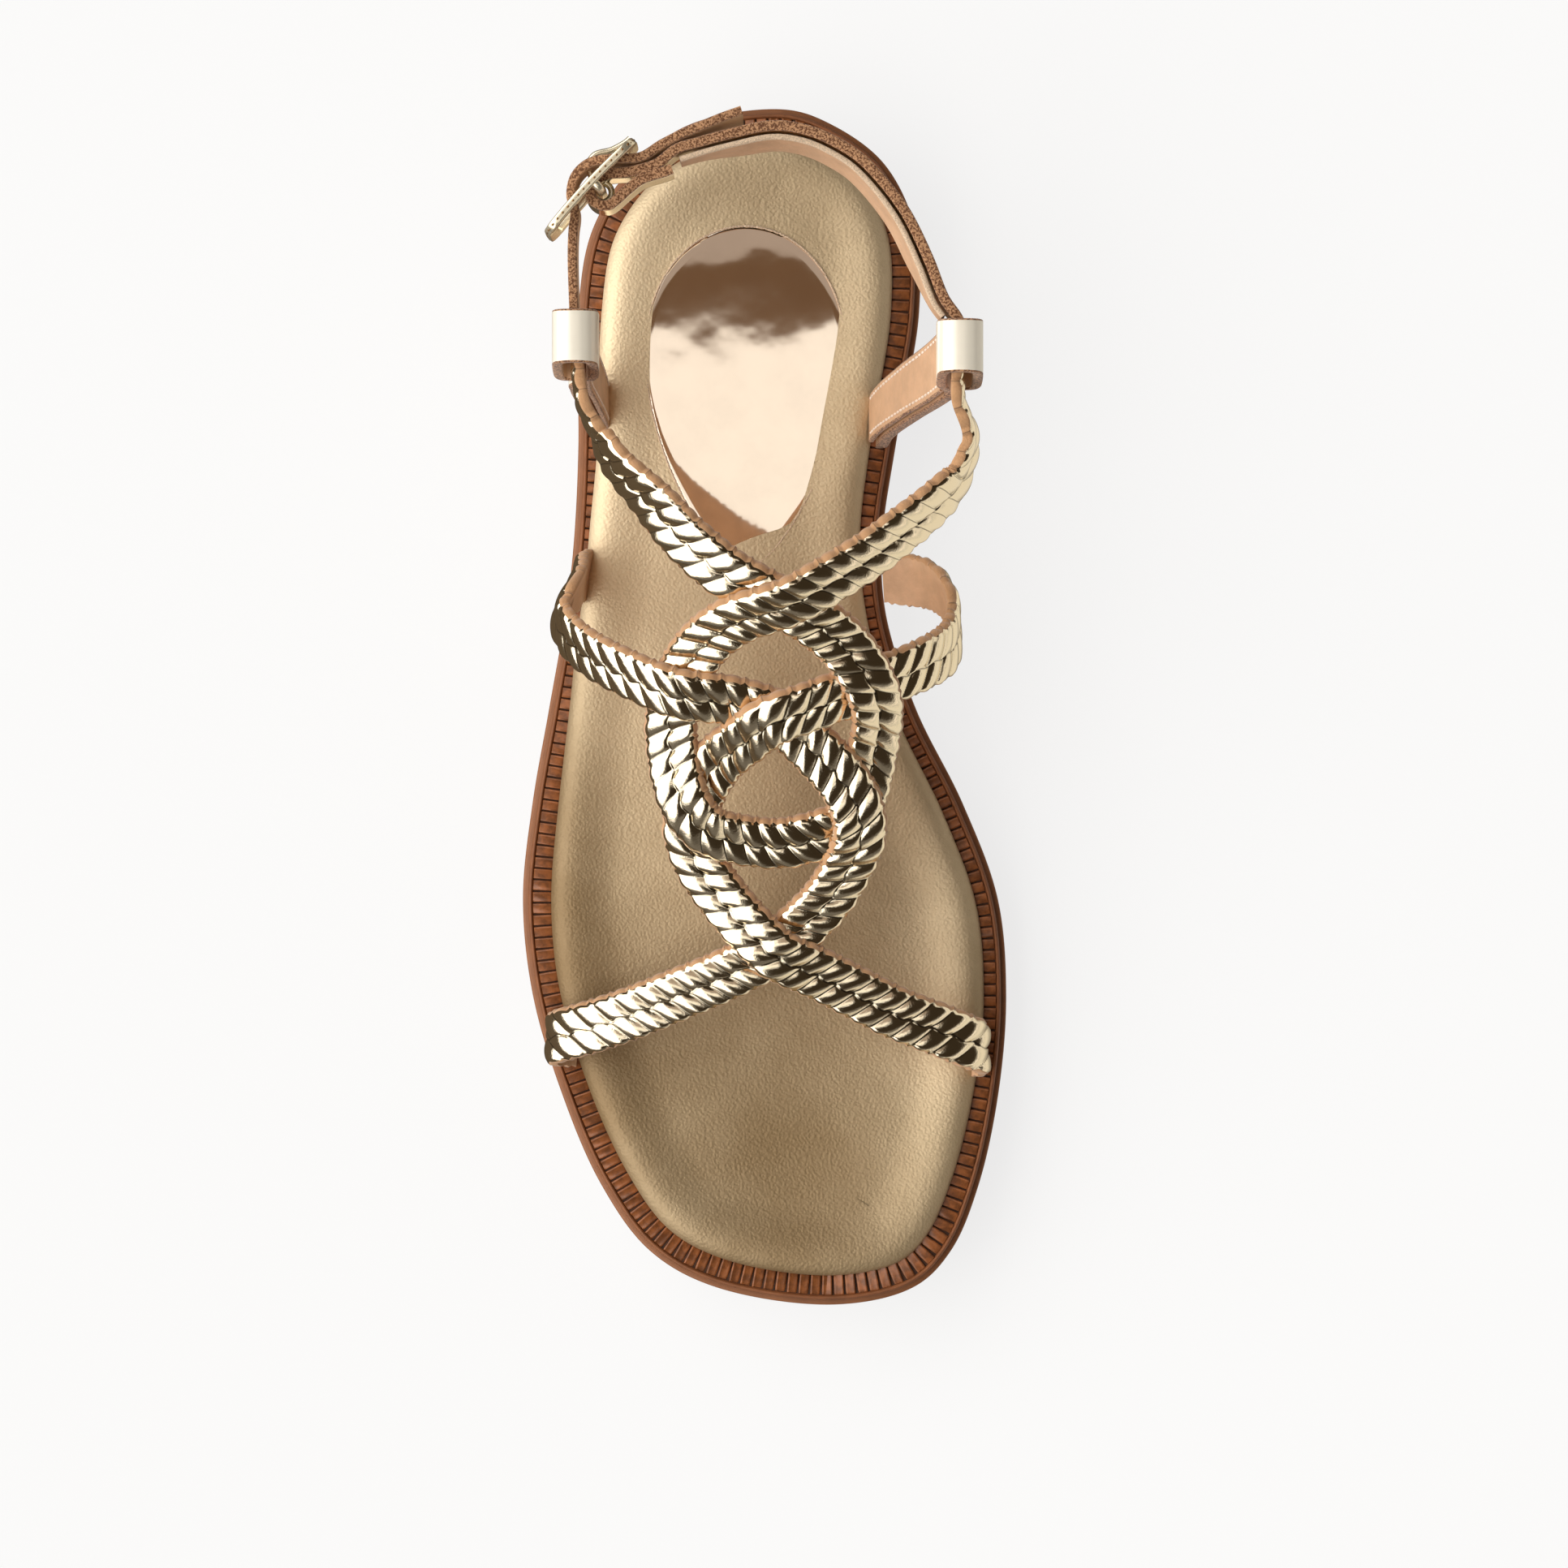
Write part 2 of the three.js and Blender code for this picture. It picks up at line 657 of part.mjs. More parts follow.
function stripShape(points, wall) {
  const sides = points.map((p, i) => {
    const before = points[Math.max(i - 1, 0)];
    const after = points[Math.min(i + 1, points.length - 1)];
    const run = new THREE.Vector2(after.x - before.x, after.y - before.y).normalize();
    return new THREE.Vector2(-run.y, run.x).multiplyScalar(wall / 2);
  });
  const left = points.map((p, i) => new THREE.Vector2(p.x + sides[i].x, p.y + sides[i].y));
  const right = points.map((p, i) => new THREE.Vector2(p.x - sides[i].x, p.y - sides[i].y));
  return new THREE.Shape([...left, ...right.reverse()]);
}

function extrude(shape, depth) {
  const geometry = new THREE.ExtrudeGeometry(shape, { depth, bevelEnabled: false, curveSegments: 4 });
  geometry.translate(0, 0, -depth / 2);
  return geometry;
}

// Side straps and their sleeves, drawn across the foot and extruded along it.

function rounded(width, height, corner) {
  const x = width / 2;
  const y = height / 2;
  const shape = new THREE.Shape();
  shape.moveTo(corner - x, -y);
  shape.lineTo(x - corner, -y);
  shape.absarc(x - corner, corner - y, corner, -Math.PI / 2, 0, false);
  shape.lineTo(x, y - corner);
  shape.absarc(x - corner, y - corner, corner, 0, Math.PI / 2, false);
  shape.lineTo(corner - x, y);
  shape.absarc(corner - x, y - corner, corner, Math.PI / 2, Math.PI, false);
  shape.lineTo(-x, corner - y);
  shape.absarc(corner - x, corner - y, corner, Math.PI, Math.PI * 1.5, false);
  return shape;
}

const sleeveRoom = strapWall + ropeRelief + 3 * clearance;
const sleeveHeight = Math.max(strapWidth, ankleWidth) + 4 * clearance;
const sleeveCorner = 0.9;

// Turns a drawing of across and height into a solid that stands across the foot. Its middle moves
// from foot to head, and its width grows from the foot's to the sleeve's.
function standAcross(shape, side, grow) {
  const geometry = extrude(shape, 1);
  const { foot, head } = sleeves[side];
  const base = weltTopAt(yAt(foot));
  const position = geometry.attributes.position;
  for (let i = 0; i < position.count; i += 1) {
    const x = position.getX(i);
    const z = position.getY(i);
    const share = (z - base) / (ankleHeight - sleeveHeight / 2 - base);
    const width = quarterFoot + (sleeveLength - quarterFoot) * share + 2 * grow;
    const middle = yAt(foot + (head - foot) * share);
    position.setXYZ(i, x, middle - position.getZ(i) * width, z);
  }
  return solidOf(geometry);
}

// The middle of a side strap between two heights, moved inwards by the same amount all the way.
function quarterPoints(side, inward, lowest, highest) {
  const towards = side === "medial" ? -1 : 1;
  const steps = stepsPerPoint * (quarterRows[side].length - 1);
  return Array.from({ length: steps + 1 }, (_, i) => {
    const height = lowest + ((highest - lowest) * i) / steps;
    const across = lookUp(quarterRows[side], "across", height / instepHeight, "height");
    return new THREE.Vector3(across * halfWidth + towards * inward, height, 0);
  });
}

function makeQuarter(side, grow) {
  const lowest = quarterRows[side][0].height * instepHeight;
  const highest = ankleHeight - (sleeveHeight + sleeveWall) / 2;
  const strip = stripShape(quarterPoints(side, 0, lowest, highest), quarterWall + 2 * grow);
  const width = sleeveRoom + 2 * sleeveWall;
  const height = sleeveHeight + 2 * sleeveWall;
  const ring = rounded(width, height, sleeveCorner + sleeveWall);
  ring.holes.push(rounded(sleeveRoom, sleeveHeight, sleeveCorner));
  const sleeve = extrude(ring, 1);
  const { across, head } = sleeves[side];
  const position = sleeve.attributes.position;
  for (let i = 0; i < position.count; i += 1) {
    const x = position.getX(i) + across * halfWidth;
    const y = yAt(head) - position.getZ(i) * sleeveLength;
    position.setXYZ(i, x, y, position.getY(i) + ankleHeight);
  }
  return standAcross(strip, side, grow).add(solidOf(sleeve));
}

function makeQuarterLining(side) {
  const inward = quarterWall / 2 + 2 * clearance + liningWall / 2;
  const lowest = insoleRimAt(yAt(sleeves[side].foot)) + 3 * clearance;
  const highest = ankleHeight - sleeveHeight / 2 - sleeveWall - clearance;
  const strip = stripShape(quarterPoints(side, inward, lowest, highest), liningWall);
  return standAcross(strip, side, -clearance);
}

// Ankle strap, drawn in plan and extruded upwards.

const ankleSpot = (row) => new THREE.Vector3(row.across * halfWidth, yAt(row.along), 0);
const buckleMiddle = ankleSpot(bucklePlace);
const buckleRun = new THREE.Vector3(
  Math.cos(bucklePlace.turn * degrees),
  Math.sin(bucklePlace.turn * degrees),
  0,
);
const halfBuckle = buckleLength / 2;
const buckleOut = new THREE.Vector3(-buckleRun.y, buckleRun.x, 0);

function buckleSpot(row) {
  const spot = buckleMiddle.clone().addScaledVector(buckleRun, row.run * halfBuckle);
  return spot.addScaledVector(buckleOut, row.out * halfBuckle);
}

const ramp = (value, from, to) => THREE.MathUtils.smoothstep((value - from) / (to - from), 0, 1);

// The strap rises to the heel, and leans out there at its top as far as the buckle.
function standUp(shape, width) {
  const geometry = extrude(shape, width);
  const position = geometry.attributes.position;
  const front = yAt(sleeves.medial.head);
  const leanStart = front + sleeveLength / 2;
  const leanFull = front + 1.6 * sleeveLength;
  const leanEnd = -0.3 * halfWidth;
  for (let i = 0; i < position.count; i += 1) {
    const x = position.getX(i);
    const y = position.getY(i);
    const height = position.getZ(i);
    const share = ramp(y, leanStart, leanFull) * ramp(x, leanEnd, 0);
    const reach = height * Math.tan(ankleLean * degrees) * share;
    const outward = new THREE.Vector2(x, y - front).normalize().multiplyScalar(reach);
    position.setXYZ(i, x + outward.x, y + outward.y, ankleHeight + height + ankleRise * (y - front));
  }
  return solidOf(geometry);
}

// The fold round the bar is a little slack, so it is wider than the bar needs.
function foldPoints() {
  const turns = [90, 120, 150, 180, 210, 240, 270].map((angle) => {
    const run = barRun + foldSlack / 2 + foldRadius * Math.cos(angle * degrees);
    const out = foldRadius * Math.sin(angle * degrees) - barInset - foldSlack;
    return { run: run / halfBuckle, out: out / halfBuckle };
  });
  return [...foldRows, ...turns, ...foldedRows].map(buckleSpot);
}

function makeAnkleStrap() {
  const points = sampled([...ankleRows.map(ankleSpot), ...foldPoints()]);
  return standUp(stripShape(points, ankleWall), ankleWidth).subtract(prongRoom);
}

function makeAnkleLining() {
  const inward = ankleWall / 2 + 1.5 * clearance + liningWall / 2;
  const outer = new THREE.CatmullRomCurve3([...ankleRows.map(ankleSpot), buckleSpot(foldRows[0])]);
  const steps = stepsPerPoint * ankleRows.length;
  const inner = outer.getPoints(steps).map((p, i) => {
    const tangent = outer.getTangent(i / steps);
    return new THREE.Vector3(p.x - tangent.y * inward, p.y + tangent.x * inward, 0);
  });
  const front = yAt(sleeves.medial.head) + sleeveLength / 2 + clearance;
  const kept = inner.filter((p) => p.y > front);
  return standUp(stripShape(kept, liningWall), ankleWidth - 2 * clearance);
}

function makeBuckleStrap() {
  const points = sampled([...frontRows.map(ankleSpot), ...tailRows.map(buckleSpot)]);
  return standUp(stripShape(points, tailWall), ankleWidth).subtract(prongRoom);
}

// Buckle, drawn flat with its length along X and turned to stand on the strap.

function standBuckle(geometry) {
  const upright = new THREE.Vector3(0, 0, 1);
  const placing = new THREE.Matrix4().makeBasis(buckleRun, upright, buckleOut.clone().negate());
  const middle = buckleMiddle.clone();
  middle.z = ankleHeight + ankleRise * (middle.y - yAt(sleeves.medial.head));
  placing.setPosition(middle);
  return solidOf(geometry.applyMatrix4(placing));
}

function makeBuckleFrame() {
  const frame = rounded(buckleLength, buckleHeight, buckleCorner);
  const [length, height] = [buckleLength, buckleHeight].map((size) => size - 2 * buckleRail);
  frame.holes.push(rounded(length, height, buckleCorner - buckleRail));
  const rails = standBuckle(extrude(frame, buckleThickness));
  const reach = buckleHeight - buckleRail;
  const bar = new THREE.CylinderGeometry(barRadius, barRadius, reach, 10);
  bar.translate(barRun, 0, barInset);
  const lugs = [-1, 1].map((end) => {
    const lug = new THREE.BoxGeometry(2 * barRadius, buckleRail * 0.8, barInset + barRadius);
    return standBuckle(lug.translate(barRun, (end * reach) / 2, (barInset + barRadius) / 2));
  });
  return [standBuckle(bar), ...lugs].reduce((solid, piece) => solid.add(piece), rails);
}

// The prong has an eye round the bar and passes through a hole in each strap.
function makeBuckleProng(grow) {
  const prongSpot = (row) => new THREE.Vector3(row.run * halfBuckle, -row.out * halfBuckle, 0);
  const points = sampled(prongRows.map(prongSpot));
  const wall = prongThickness + 2 * grow;
  const blade = extrude(stripShape(points, wall), wall);
  const bore = barRadius + clearance;
  const rim = bore + prongThickness + grow;
  const eye = new THREE.Shape().absarc(barRun, barInset, rim, 0, 2 * Math.PI);
  const hole = new THREE.Path().absarc(barRun, barInset, bore, 0, 2 * Math.PI);
  if (!grow) eye.holes.push(hole);
  const ring = extrude(eye, wall);
  const open = extrude(new THREE.Shape(hole.getPoints(6)), 2 * wall);
  const parts = [blade, ring, open].map((geometry) => standBuckle(geometry.rotateX(Math.PI / 2)));
  const whole = parts[0].add(parts[1]);
  return grow ? whole : whole.subtract(parts[2]);
}
const prongRoom = makeBuckleProng(clearance);

const group = new THREE.Group();
const add = (name, solid, material) => group.add(meshOf(name, solid, material));
const surface = (color, roughness, metalness) => {
  return new THREE.MeshStandardMaterial({ color, roughness, metalness });
};

// Straps that reach the sole stop just above the welt, in pockets of the insole.
const strapReach = 2 * weltMargin;
const underStraps = stack([
  level(() => -strapReach, () => -strapReach),
  level(() => -strapReach, (y) => weltTopAt(y) + clearance),
]);
const straps = Object.values(routes).map((route) => strap(route, 0));
const strapRooms = Object.values(routes).map((route) => strap(route, clearance));
const upper = straps.reduce((solid, one) => solid.add(one)).subtract(underStraps);

const patchRoom = makePatch(
  clearance,
  (y) => insoleBedAt(y) - patchThickness - clearance,
  (y) => insoleRimAt(y) + clearance,
);
const rooms = [
  ...strapRooms,
  makeQuarter("lateral", 1.5 * clearance),
  makeQuarter("medial", 1.5 * clearance),
  patchRoom,
];
const insole = rooms.reduce((solid, room) => solid.subtract(room), makeInsole());

add("outsole", makeOutsole(), surface(0x7a4a2a, 0.7, 0));
add("welt", makeWelt(), surface(0x6a3a1c, 0.55, 0));
add("insole", insole, surface(0xb49f7c, 0.5, 0.4));
const patch = makePatch(0, (y) => insoleBedAt(y) - patchThickness, insoleBedAt);
add("heel_patch", patch, surface(0xf0e1cd, 0.15, 1));
add("upper", upper, surface(0xe0c68c, 0.25, 0.9));
for (const side of ["lateral", "medial"]) {
  const quarter = makeQuarter(side, 0).subtract(underStraps);
  add("quarter_strap_" + side, quarter, surface(0xd9bf8a, 0.3, 0.8));
  add("quarter_lining_" + side, makeQuarterLining(side), surface(0xd2af8c, 0.8, 0));
}
add("ankle_strap", makeAnkleStrap(), surface(0xd9bf8a, 0.3, 0.8));
add("ankle_lining", makeAnkleLining(), surface(0xd2af8c, 0.8, 0));
add("buckle_strap", makeBuckleStrap(), surface(0xd9bf8a, 0.3, 0.8));
add("buckle_frame", makeBuckleFrame(), surface(0xd8c69c, 0.25, 1));
add("buckle_prong", makeBuckleProng(0), surface(0xd8c69c, 0.25, 1));

export default group;
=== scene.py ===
# A girl's buckle sandal for the right foot, dressed in its leathers, foil and metal.
# X runs to the inner side of the foot, Y from the toe to the heel, Z up.
# Sizes in the tables and constants are in millimetres, and every mesh is made in metres.
import math

import bmesh
import bpy
from bpy.props import FloatProperty, FloatVectorProperty, IntProperty, PointerProperty
from mathutils import Matrix, Vector


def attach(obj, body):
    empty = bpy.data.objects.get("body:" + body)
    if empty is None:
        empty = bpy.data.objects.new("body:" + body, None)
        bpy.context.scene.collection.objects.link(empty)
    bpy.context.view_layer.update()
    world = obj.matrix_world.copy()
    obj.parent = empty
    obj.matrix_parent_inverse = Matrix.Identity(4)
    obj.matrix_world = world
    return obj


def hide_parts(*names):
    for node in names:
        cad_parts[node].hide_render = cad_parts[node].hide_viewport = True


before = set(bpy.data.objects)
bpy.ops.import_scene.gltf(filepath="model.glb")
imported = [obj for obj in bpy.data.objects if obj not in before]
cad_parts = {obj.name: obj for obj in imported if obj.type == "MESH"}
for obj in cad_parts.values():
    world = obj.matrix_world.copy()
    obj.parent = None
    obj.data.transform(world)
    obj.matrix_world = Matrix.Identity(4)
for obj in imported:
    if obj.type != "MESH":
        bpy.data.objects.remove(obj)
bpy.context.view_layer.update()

bl_info = {
    "name": "Buckle sandal",
    "version": (1, 0, 0),
    "blender": (4, 5, 0),
    "location": "View3D > Sidebar > Sandal",
    "description": "Dresses the packed solids of a buckle sandal",
    "category": "Object",
}

MM = 0.001

# Driving dimensions, the same as the solids have
SOLE_LENGTH = 216
SOLE_WIDTH = 88
HEEL_STACK = 18
INSTEP_HEIGHT = 70
CLEARANCE = 0.3
LIP_WIDTH = 1
LIP_HEIGHT = 2
LIP_OVERHANG = 0.8
SOLE_EDGE_ROUND = 1.6
SOLE_TAPER = 1.4
WELT_MARGIN = 5.2
WELT_THICKNESS = 2.2
WELT_TUCK = 2.6
# Distance from the lip to the ribs
RIB_START = 0.8
INSOLE_RISE = 2.8
INSOLE_DISH = 1
PATCH_LENGTH = 61
PATCH_WIDTH = 36
PATCH_THICKNESS = 0.7
PATCH_BACK = 21.5
PATCH_OFFSET = 3.4
PATCH_ROUND = 0.36
PATCH_PINCH = 0.32
STRAP_WALL = 1.9
STRAP_WIDTH = 8.6
QUARTER_WALL = 2.2
SLEEVE_WALL = 1.8
SLEEVE_LENGTH = 11.4
SLEEVE_CORNER = 0.9
# How far the toe end of a sleeve is cut back for each millimetre of its height
SLEEVE_CUT = 0.18
QUARTER_FOOT = 8.8
ANKLE_WALL = 1.8
ANKLE_WIDTH = 9.2
ANKLE_HEIGHT = 62.6
ANKLE_RISE = 0.05
ANKLE_LEAN = 8
LINING_WALL = 1
TAIL_WALL = 1.6
BUCKLE_LENGTH = 22
BUCKLE_HEIGHT = 15
BUCKLE_RAIL = 2.2
BUCKLE_CORNER = 3
BUCKLE_THICKNESS = 1.5
BAR_RADIUS = 0.8
BAR_RUN = 0.9
BAR_INSET = 1.7
FOLD_RADIUS = 2.5
FOLD_SLACK = 0.5
PRONG_THICKNESS = 1.1
GROOVE_WIDTH = 1.8
GROOVE_DEPTH = 1.3
GROOVE_PITCH = 7.2
HALF_WIDTH = SOLE_WIDTH / 2

# Forms of the sole: the lip's section, as place inwards and drop below the sole's top, the swell of
# its side, and the stretches of its length with grooves across the underside
LIP_SECTION = (
    (0.5, 3.2), (0.12, 2.5), (0, 1.9), (0, 1.2), (0, 0.5), (0.06, 0.28), (0.2, 0.1), (0.5, 0),
)
SOLE_SWELL = 0.3
TOP_INSET = 3
# Rings that close the sole's top and its underside, and the insole's bed, to the middle line
TOP_RINGS = 6
GROUND_RINGS = 12
BED_RINGS = 22
GROOVED = ((0.06, 0.24), (0.57, 0.76))
# The bead along the welt, as place inwards from its ribs and drop below the welt's top
BEAD_SECTION = ((0, 0.25), (-0.12, 0.06), (-0.3, 0), (-0.5, 0.12), (-0.66, 0.45))
BEAD_FOOT = 0.12
# How far the ribs reach in under the insole's rim
RIB_TUCK = 0.45
# Where the insole's rim reaches its height and where its bed begins, and the rings between
RIM_CREST = 2.8
RIM_END = 8.5
RIM_LEAST = 0.25
RIM_STEPS = (0, 0.12, 0.3, 0.55, 0.9, 1.3, 1.7, 2.1, 2.8, 3.6, 4.6, 5.8, 7, 8.5)
# The patch's section, as a share of its outline and lift over the insole's bed
PATCH_SECTION = ((1, -PATCH_THICKNESS), (1, -0.02), (0.994, 0.1), (0.98, 0.15)) + tuple(
    (share, 0.16) for share in (0.93, 0.85, 0.7, 0.55, 0.4, 0.25, 0.1))
# The ragged edge of the patch: its fibres' size and pitch, and their lift over the insole's bed
FIBRE = (0.95, 0.4, 0.34)
FIBRE_PITCH = 0.55
FIBRE_LIFT = 0.12
# The ropes pressed in a strap, in shares of their relief or in millimetres
ROPE_ACROSS = 40
ROPE_INSET = 0.15
CROWN_SHARE = 0.24
LOBE_SHARE = 0.36
LOBE_BULGE = 0.75
EDGE_REACH = 0.45
EDGE_DROP = 0.3
VALLEY_SWAY = 0.28
# How deep the feet of the straps go below the welt's top, and where they are cut off
FOOT_DEPTH = 0.8
FOOT_END = 4.5


def table(columns, rows):
    """Rows with named columns."""
    names = columns.split()
    return [dict(zip(names, row)) for row in rows]


# The sole's outline from heel to toe, as shares of its length, of half its width and of the margin
OUTLINE = table("along lateral medial lateral_margin medial_margin", [
    (0, 0.08, 0.08, 1.2, 1.2),
    (0.012, -0.3, 0.27, 1.15, 1.18),
    (0.045, -0.53, 0.49, 1, 1.12),
    (0.1, -0.705, 0.62, 0.92, 1.08),
    (0.17, -0.765, 0.635, 0.9, 1.05),
    (0.28, -0.765, 0.54, 0.75, 0.95),
    (0.36, -0.785, 0.485, 0.6, 0.85),
    (0.42, -0.82, 0.5, 0.6, 0.75),
    (0.5, -0.89, 0.625, 0.8, 0.8),
    (0.58, -0.96, 0.82, 1, 0.85),
    (0.66, -1, 0.965, 1.08, 0.87),
    (0.74, -0.96, 1, 1.05, 0.87),
    (0.82, -0.845, 0.97, 1.05, 0.95),
    (0.9, -0.675, 0.885, 1.1, 1.05),
    (0.955, -0.475, 0.77, 1.1, 1.1),
    (0.985, -0.21, 0.62, 1.12, 1.12),
    (1, 0.295, 0.295, 1.12, 1.12),
])
# Heights of the underside and the top, as shares of the heel's stack
HEIGHTS = table("along ground top", [
    (0, 0.05, 1.03),
    (0.04, 0, 1.02),
    (0.12, 0, 1),
    (0.27, 0, 0.9),
    (0.36, 0.12, 0.8),
    (0.45, 0.14, 0.69),
    (0.54, 0, 0.58),
    (0.66, 0, 0.53),
    (0.78, 0, 0.56),
    (0.88, 0.09, 0.65),
    (0.95, 0.18, 0.74),
    (1, 0.26, 0.83),
])
# The last that the straps lie on, as shares of half the sole's width and of the instep's height
LAST = table("along centre half widest crown outer inner", [
    (0.18, 0.01, 0.71, 0.91, 1.27, 0.1, 0.14),
    (0.23, 0.017, 0.715, 0.895, 1.215, 0.1, 0.15),
    (0.255, 0.025, 0.71, 0.885, 1.185, 0.1, 0.15),
    (0.29, 0.085, 0.705, 0.82, 1.13, 0.1, 0.17),
    (0.33, 0.085, 0.69, 0.7, 1.055, 0.1, 0.2),
    (0.37, 0.057, 0.714, 0.6, 0.99, -0.25, 0.23),
    (0.4, 0.011, 0.74, 0.53, 0.94, -0.35, 0.23),
    (0.43, -0.034, 0.775, 0.457, 0.877, -0.35, 0.22),
    (0.5, 0, 0.782, 0.4, 0.75, 0.1, 0.15),
    (0.58, 0.023, 0.805, 0.343, 0.62, 0.1, 0.1),
    (0.64, 0.023, 0.816, 0.3, 0.534, 0.1, 0.1),
    (0.7, 0.023, 0.816, 0.271, 0.463, 0.1, 0.1),
    (0.78, 0.014, 0.81, 0.243, 0.384, 0.1, 0.1),
    (0.86, 0.045, 0.748, 0.229, 0.327, 0.1, 0.1),
])
# Routes of the four rope straps: share of the length, degrees from the crown, lift over another strap
ROUTES = {
    "outer_to_outer": table("along around lift", [
        (0.388, -114, 0), (0.396, -102, 0), (0.412, -89, 0), (0.437, -73, 0), (0.453, -60, 0),
        (0.47, -41, 0.4), (0.484, -23, 1), (0.494, -9, 0.2), (0.507, 3, 0), (0.53, 12, 0),
        (0.558, 21, 0.5), (0.58, 24.5, 1), (0.602, 25, 1), (0.626, 22.5, 0.3), (0.655, 17, 0),
        (0.682, 8, 0), (0.701, 0, 0), (0.721, -13, 0), (0.738, -27.5, 0), (0.753, -42, 0),
        (0.765, -58, 0), (0.773, -76, 0), (0.778, -96, 0), (0.78, -116, 0),
    ]),
    "inner_to_inner": table("along around lift", [
        (0.393, 146, 0), (0.4, 122, 0), (0.42, 98, 0), (0.449, 77, 0), (0.467, 54, 0),
        (0.484, 31, 0), (0.496, 15, 0.4), (0.506, 2, 1), (0.524, -6, 0.5), (0.545, -14.5, 0),
        (0.572, -20.5, 0), (0.6, -23.2, 0), (0.625, -20.5, 0), (0.654, -13.5, 0.2),
        (0.68, -5, 0.8), (0.699, 2, 1), (0.717, 13, 0.3), (0.735, 25, 0), (0.752, 38, 0),
        (0.766, 54, 0), (0.778, 72, 0), (0.786, 94, 0), (0.789, 114, 0),
    ]),
    "inner_sleeve": table("along around lift", [
        (0.227, 90, 0), (0.25, 89, 0), (0.286, 84, 0), (0.315, 73, 0), (0.338, 56, 0),
        (0.36, 41, 0), (0.384, 26, 0.3), (0.411, 7, 1), (0.428, -5, 0.5), (0.45, -15, 0),
        (0.475, -22.5, 0), (0.505, -27.3, 0), (0.535, -27.5, 0.3), (0.57, -24, 1),
        (0.594, -18, 0.8), (0.608, -7, 0.1), (0.611, 3, 0), (0.605, 13, 0), (0.596, 22, 0),
    ]),
    "outer_sleeve": table("along around lift", [
        (0.225, -90, 0), (0.25, -89, 0), (0.28, -83, 0), (0.303, -69, 0), (0.324, -55, 0),
        (0.348, -41, 0), (0.371, -28, 0), (0.393, -14, 0), (0.412, 2, 0), (0.43, 16, 0),
        (0.452, 26, 0.3), (0.478, 31, 1), (0.503, 33, 0.7), (0.528, 32, 0.1), (0.555, 29, 0),
        (0.582, 25.5, 0),
    ]),
}
# How far the feet of the straps spread to the insole's edge, and the heights over the welt between
# which the spread fades out
FOOT_SPREAD = 2.4
SPREAD_HEIGHTS = (2, 16)
# How fully the first third of a strap turns its foot outwards, how far that foot leans to the heel,
# and the heights over the welt between which the turn fades out
FOOT_TURN = 0.92
FOOT_LEAN = 0.115
TURN_HEIGHTS = (8, 30)
# How far the cut edge of a strap spreads on its heel side
EDGE_FLARE = 0.38
# Which way the lobes of each rope strap slant
ROPE_HAND = {"outer_to_outer": -1, "inner_to_inner": 1, "inner_sleeve": -1, "outer_sleeve": 1}

QUARTERS = {
    "lateral": table("across height", [
        (-0.69, 0.2), (-0.7, 0.36), (-0.725, 0.56), (-0.745, 0.72), (-0.745, 0.82),
    ]),
    "medial": table("across height", [
        (0.47, 0.2), (0.5, 0.34), (0.6, 0.53), (0.71, 0.7), (0.765, 0.81),
    ]),
}
SLEEVES = {
    "lateral": {"foot": 0.25, "head": 0.2135, "across": -0.735},
    "medial": {"foot": 0.262, "head": 0.221, "across": 0.768},
}
ANKLE = table("across along", [
    (0.77, 0.2153), (0.765, 0.197), (0.7, 0.1775), (0.634, 0.1486), (0.532, 0.108),
    (0.38, 0.0713), (0.277, 0.0574), (0.177, 0.0486), (0.05, 0.0445), (-0.11, 0.0493),
    (-0.24, 0.0545),
])
FRONT = table("across along", [
    (SLEEVES["lateral"]["across"], 0.2115),
    (SLEEVES["lateral"]["across"] - 0.004, 0.1835),
])
BUCKLE_PLACE = {"across": -0.673, "along": 0.0903, "turn": 47}
# Routes through the buckle, as shares of half its length
FOLD = table("run out", [(1.355, -0.582), (0.973, -0.509), (0.6, -0.291), (0.327, -0.064)])
FOLDED = table("run out", [(0.355, -0.45), (0.636, -0.5), (0.964, -0.682), (1.073, -0.736)])
TAIL = table("run out", [
    (-0.973, -0.518), (-0.682, -0.264), (-0.445, -0.082), (-0.291, 0.145), (-0.036, 0.291),
    (0.255, 0.273), (0.527, 0.082), (0.873, -0.25), (1.245, -0.359), (1.618, -0.5),
    (2.109, -0.745), (2.445, -0.945),
])
PRONG = table("run out", [
    (0.082, -0.055), (0.145, 0.127), (0.264, 0.3), (0.436, 0.33), (0.673, 0.19),
    (0.909, 0.11), (1, 0.1),
])
# The bar's wire from end to end, as shares of the frame's inner height and places outwards
BAR = (
    (-1, 0.2), (-1, -0.6), (-0.985, -1.1), (-0.94, -1.5), (-0.86, -BAR_INSET), (0, -BAR_INSET),
    (0.86, -BAR_INSET), (0.94, -1.5), (0.985, -1.1), (1, -0.6), (1, 0.2),
)
# How deep the buckle's dots sit in its rails
DOT_SINK = 0.02
# How far the insole's rim puffs out over the welt
RIM_PUFF = 0.35
# Soft hollows and swells pressed in the insole: place, reach along each axis, and height
INSOLE_FORMS = table("x y reach_x reach_y height", [
    (7, -83, 15, 12, -0.7),
    (6, -60, 24, 14, -0.35),
    (-20, -30, 14, 22, -0.35),
    (16, -34, 15, 18, -0.4),
    (-4, 62, 15, 24, -0.3),
    (4, 14, 22, 26, 0.35),
])

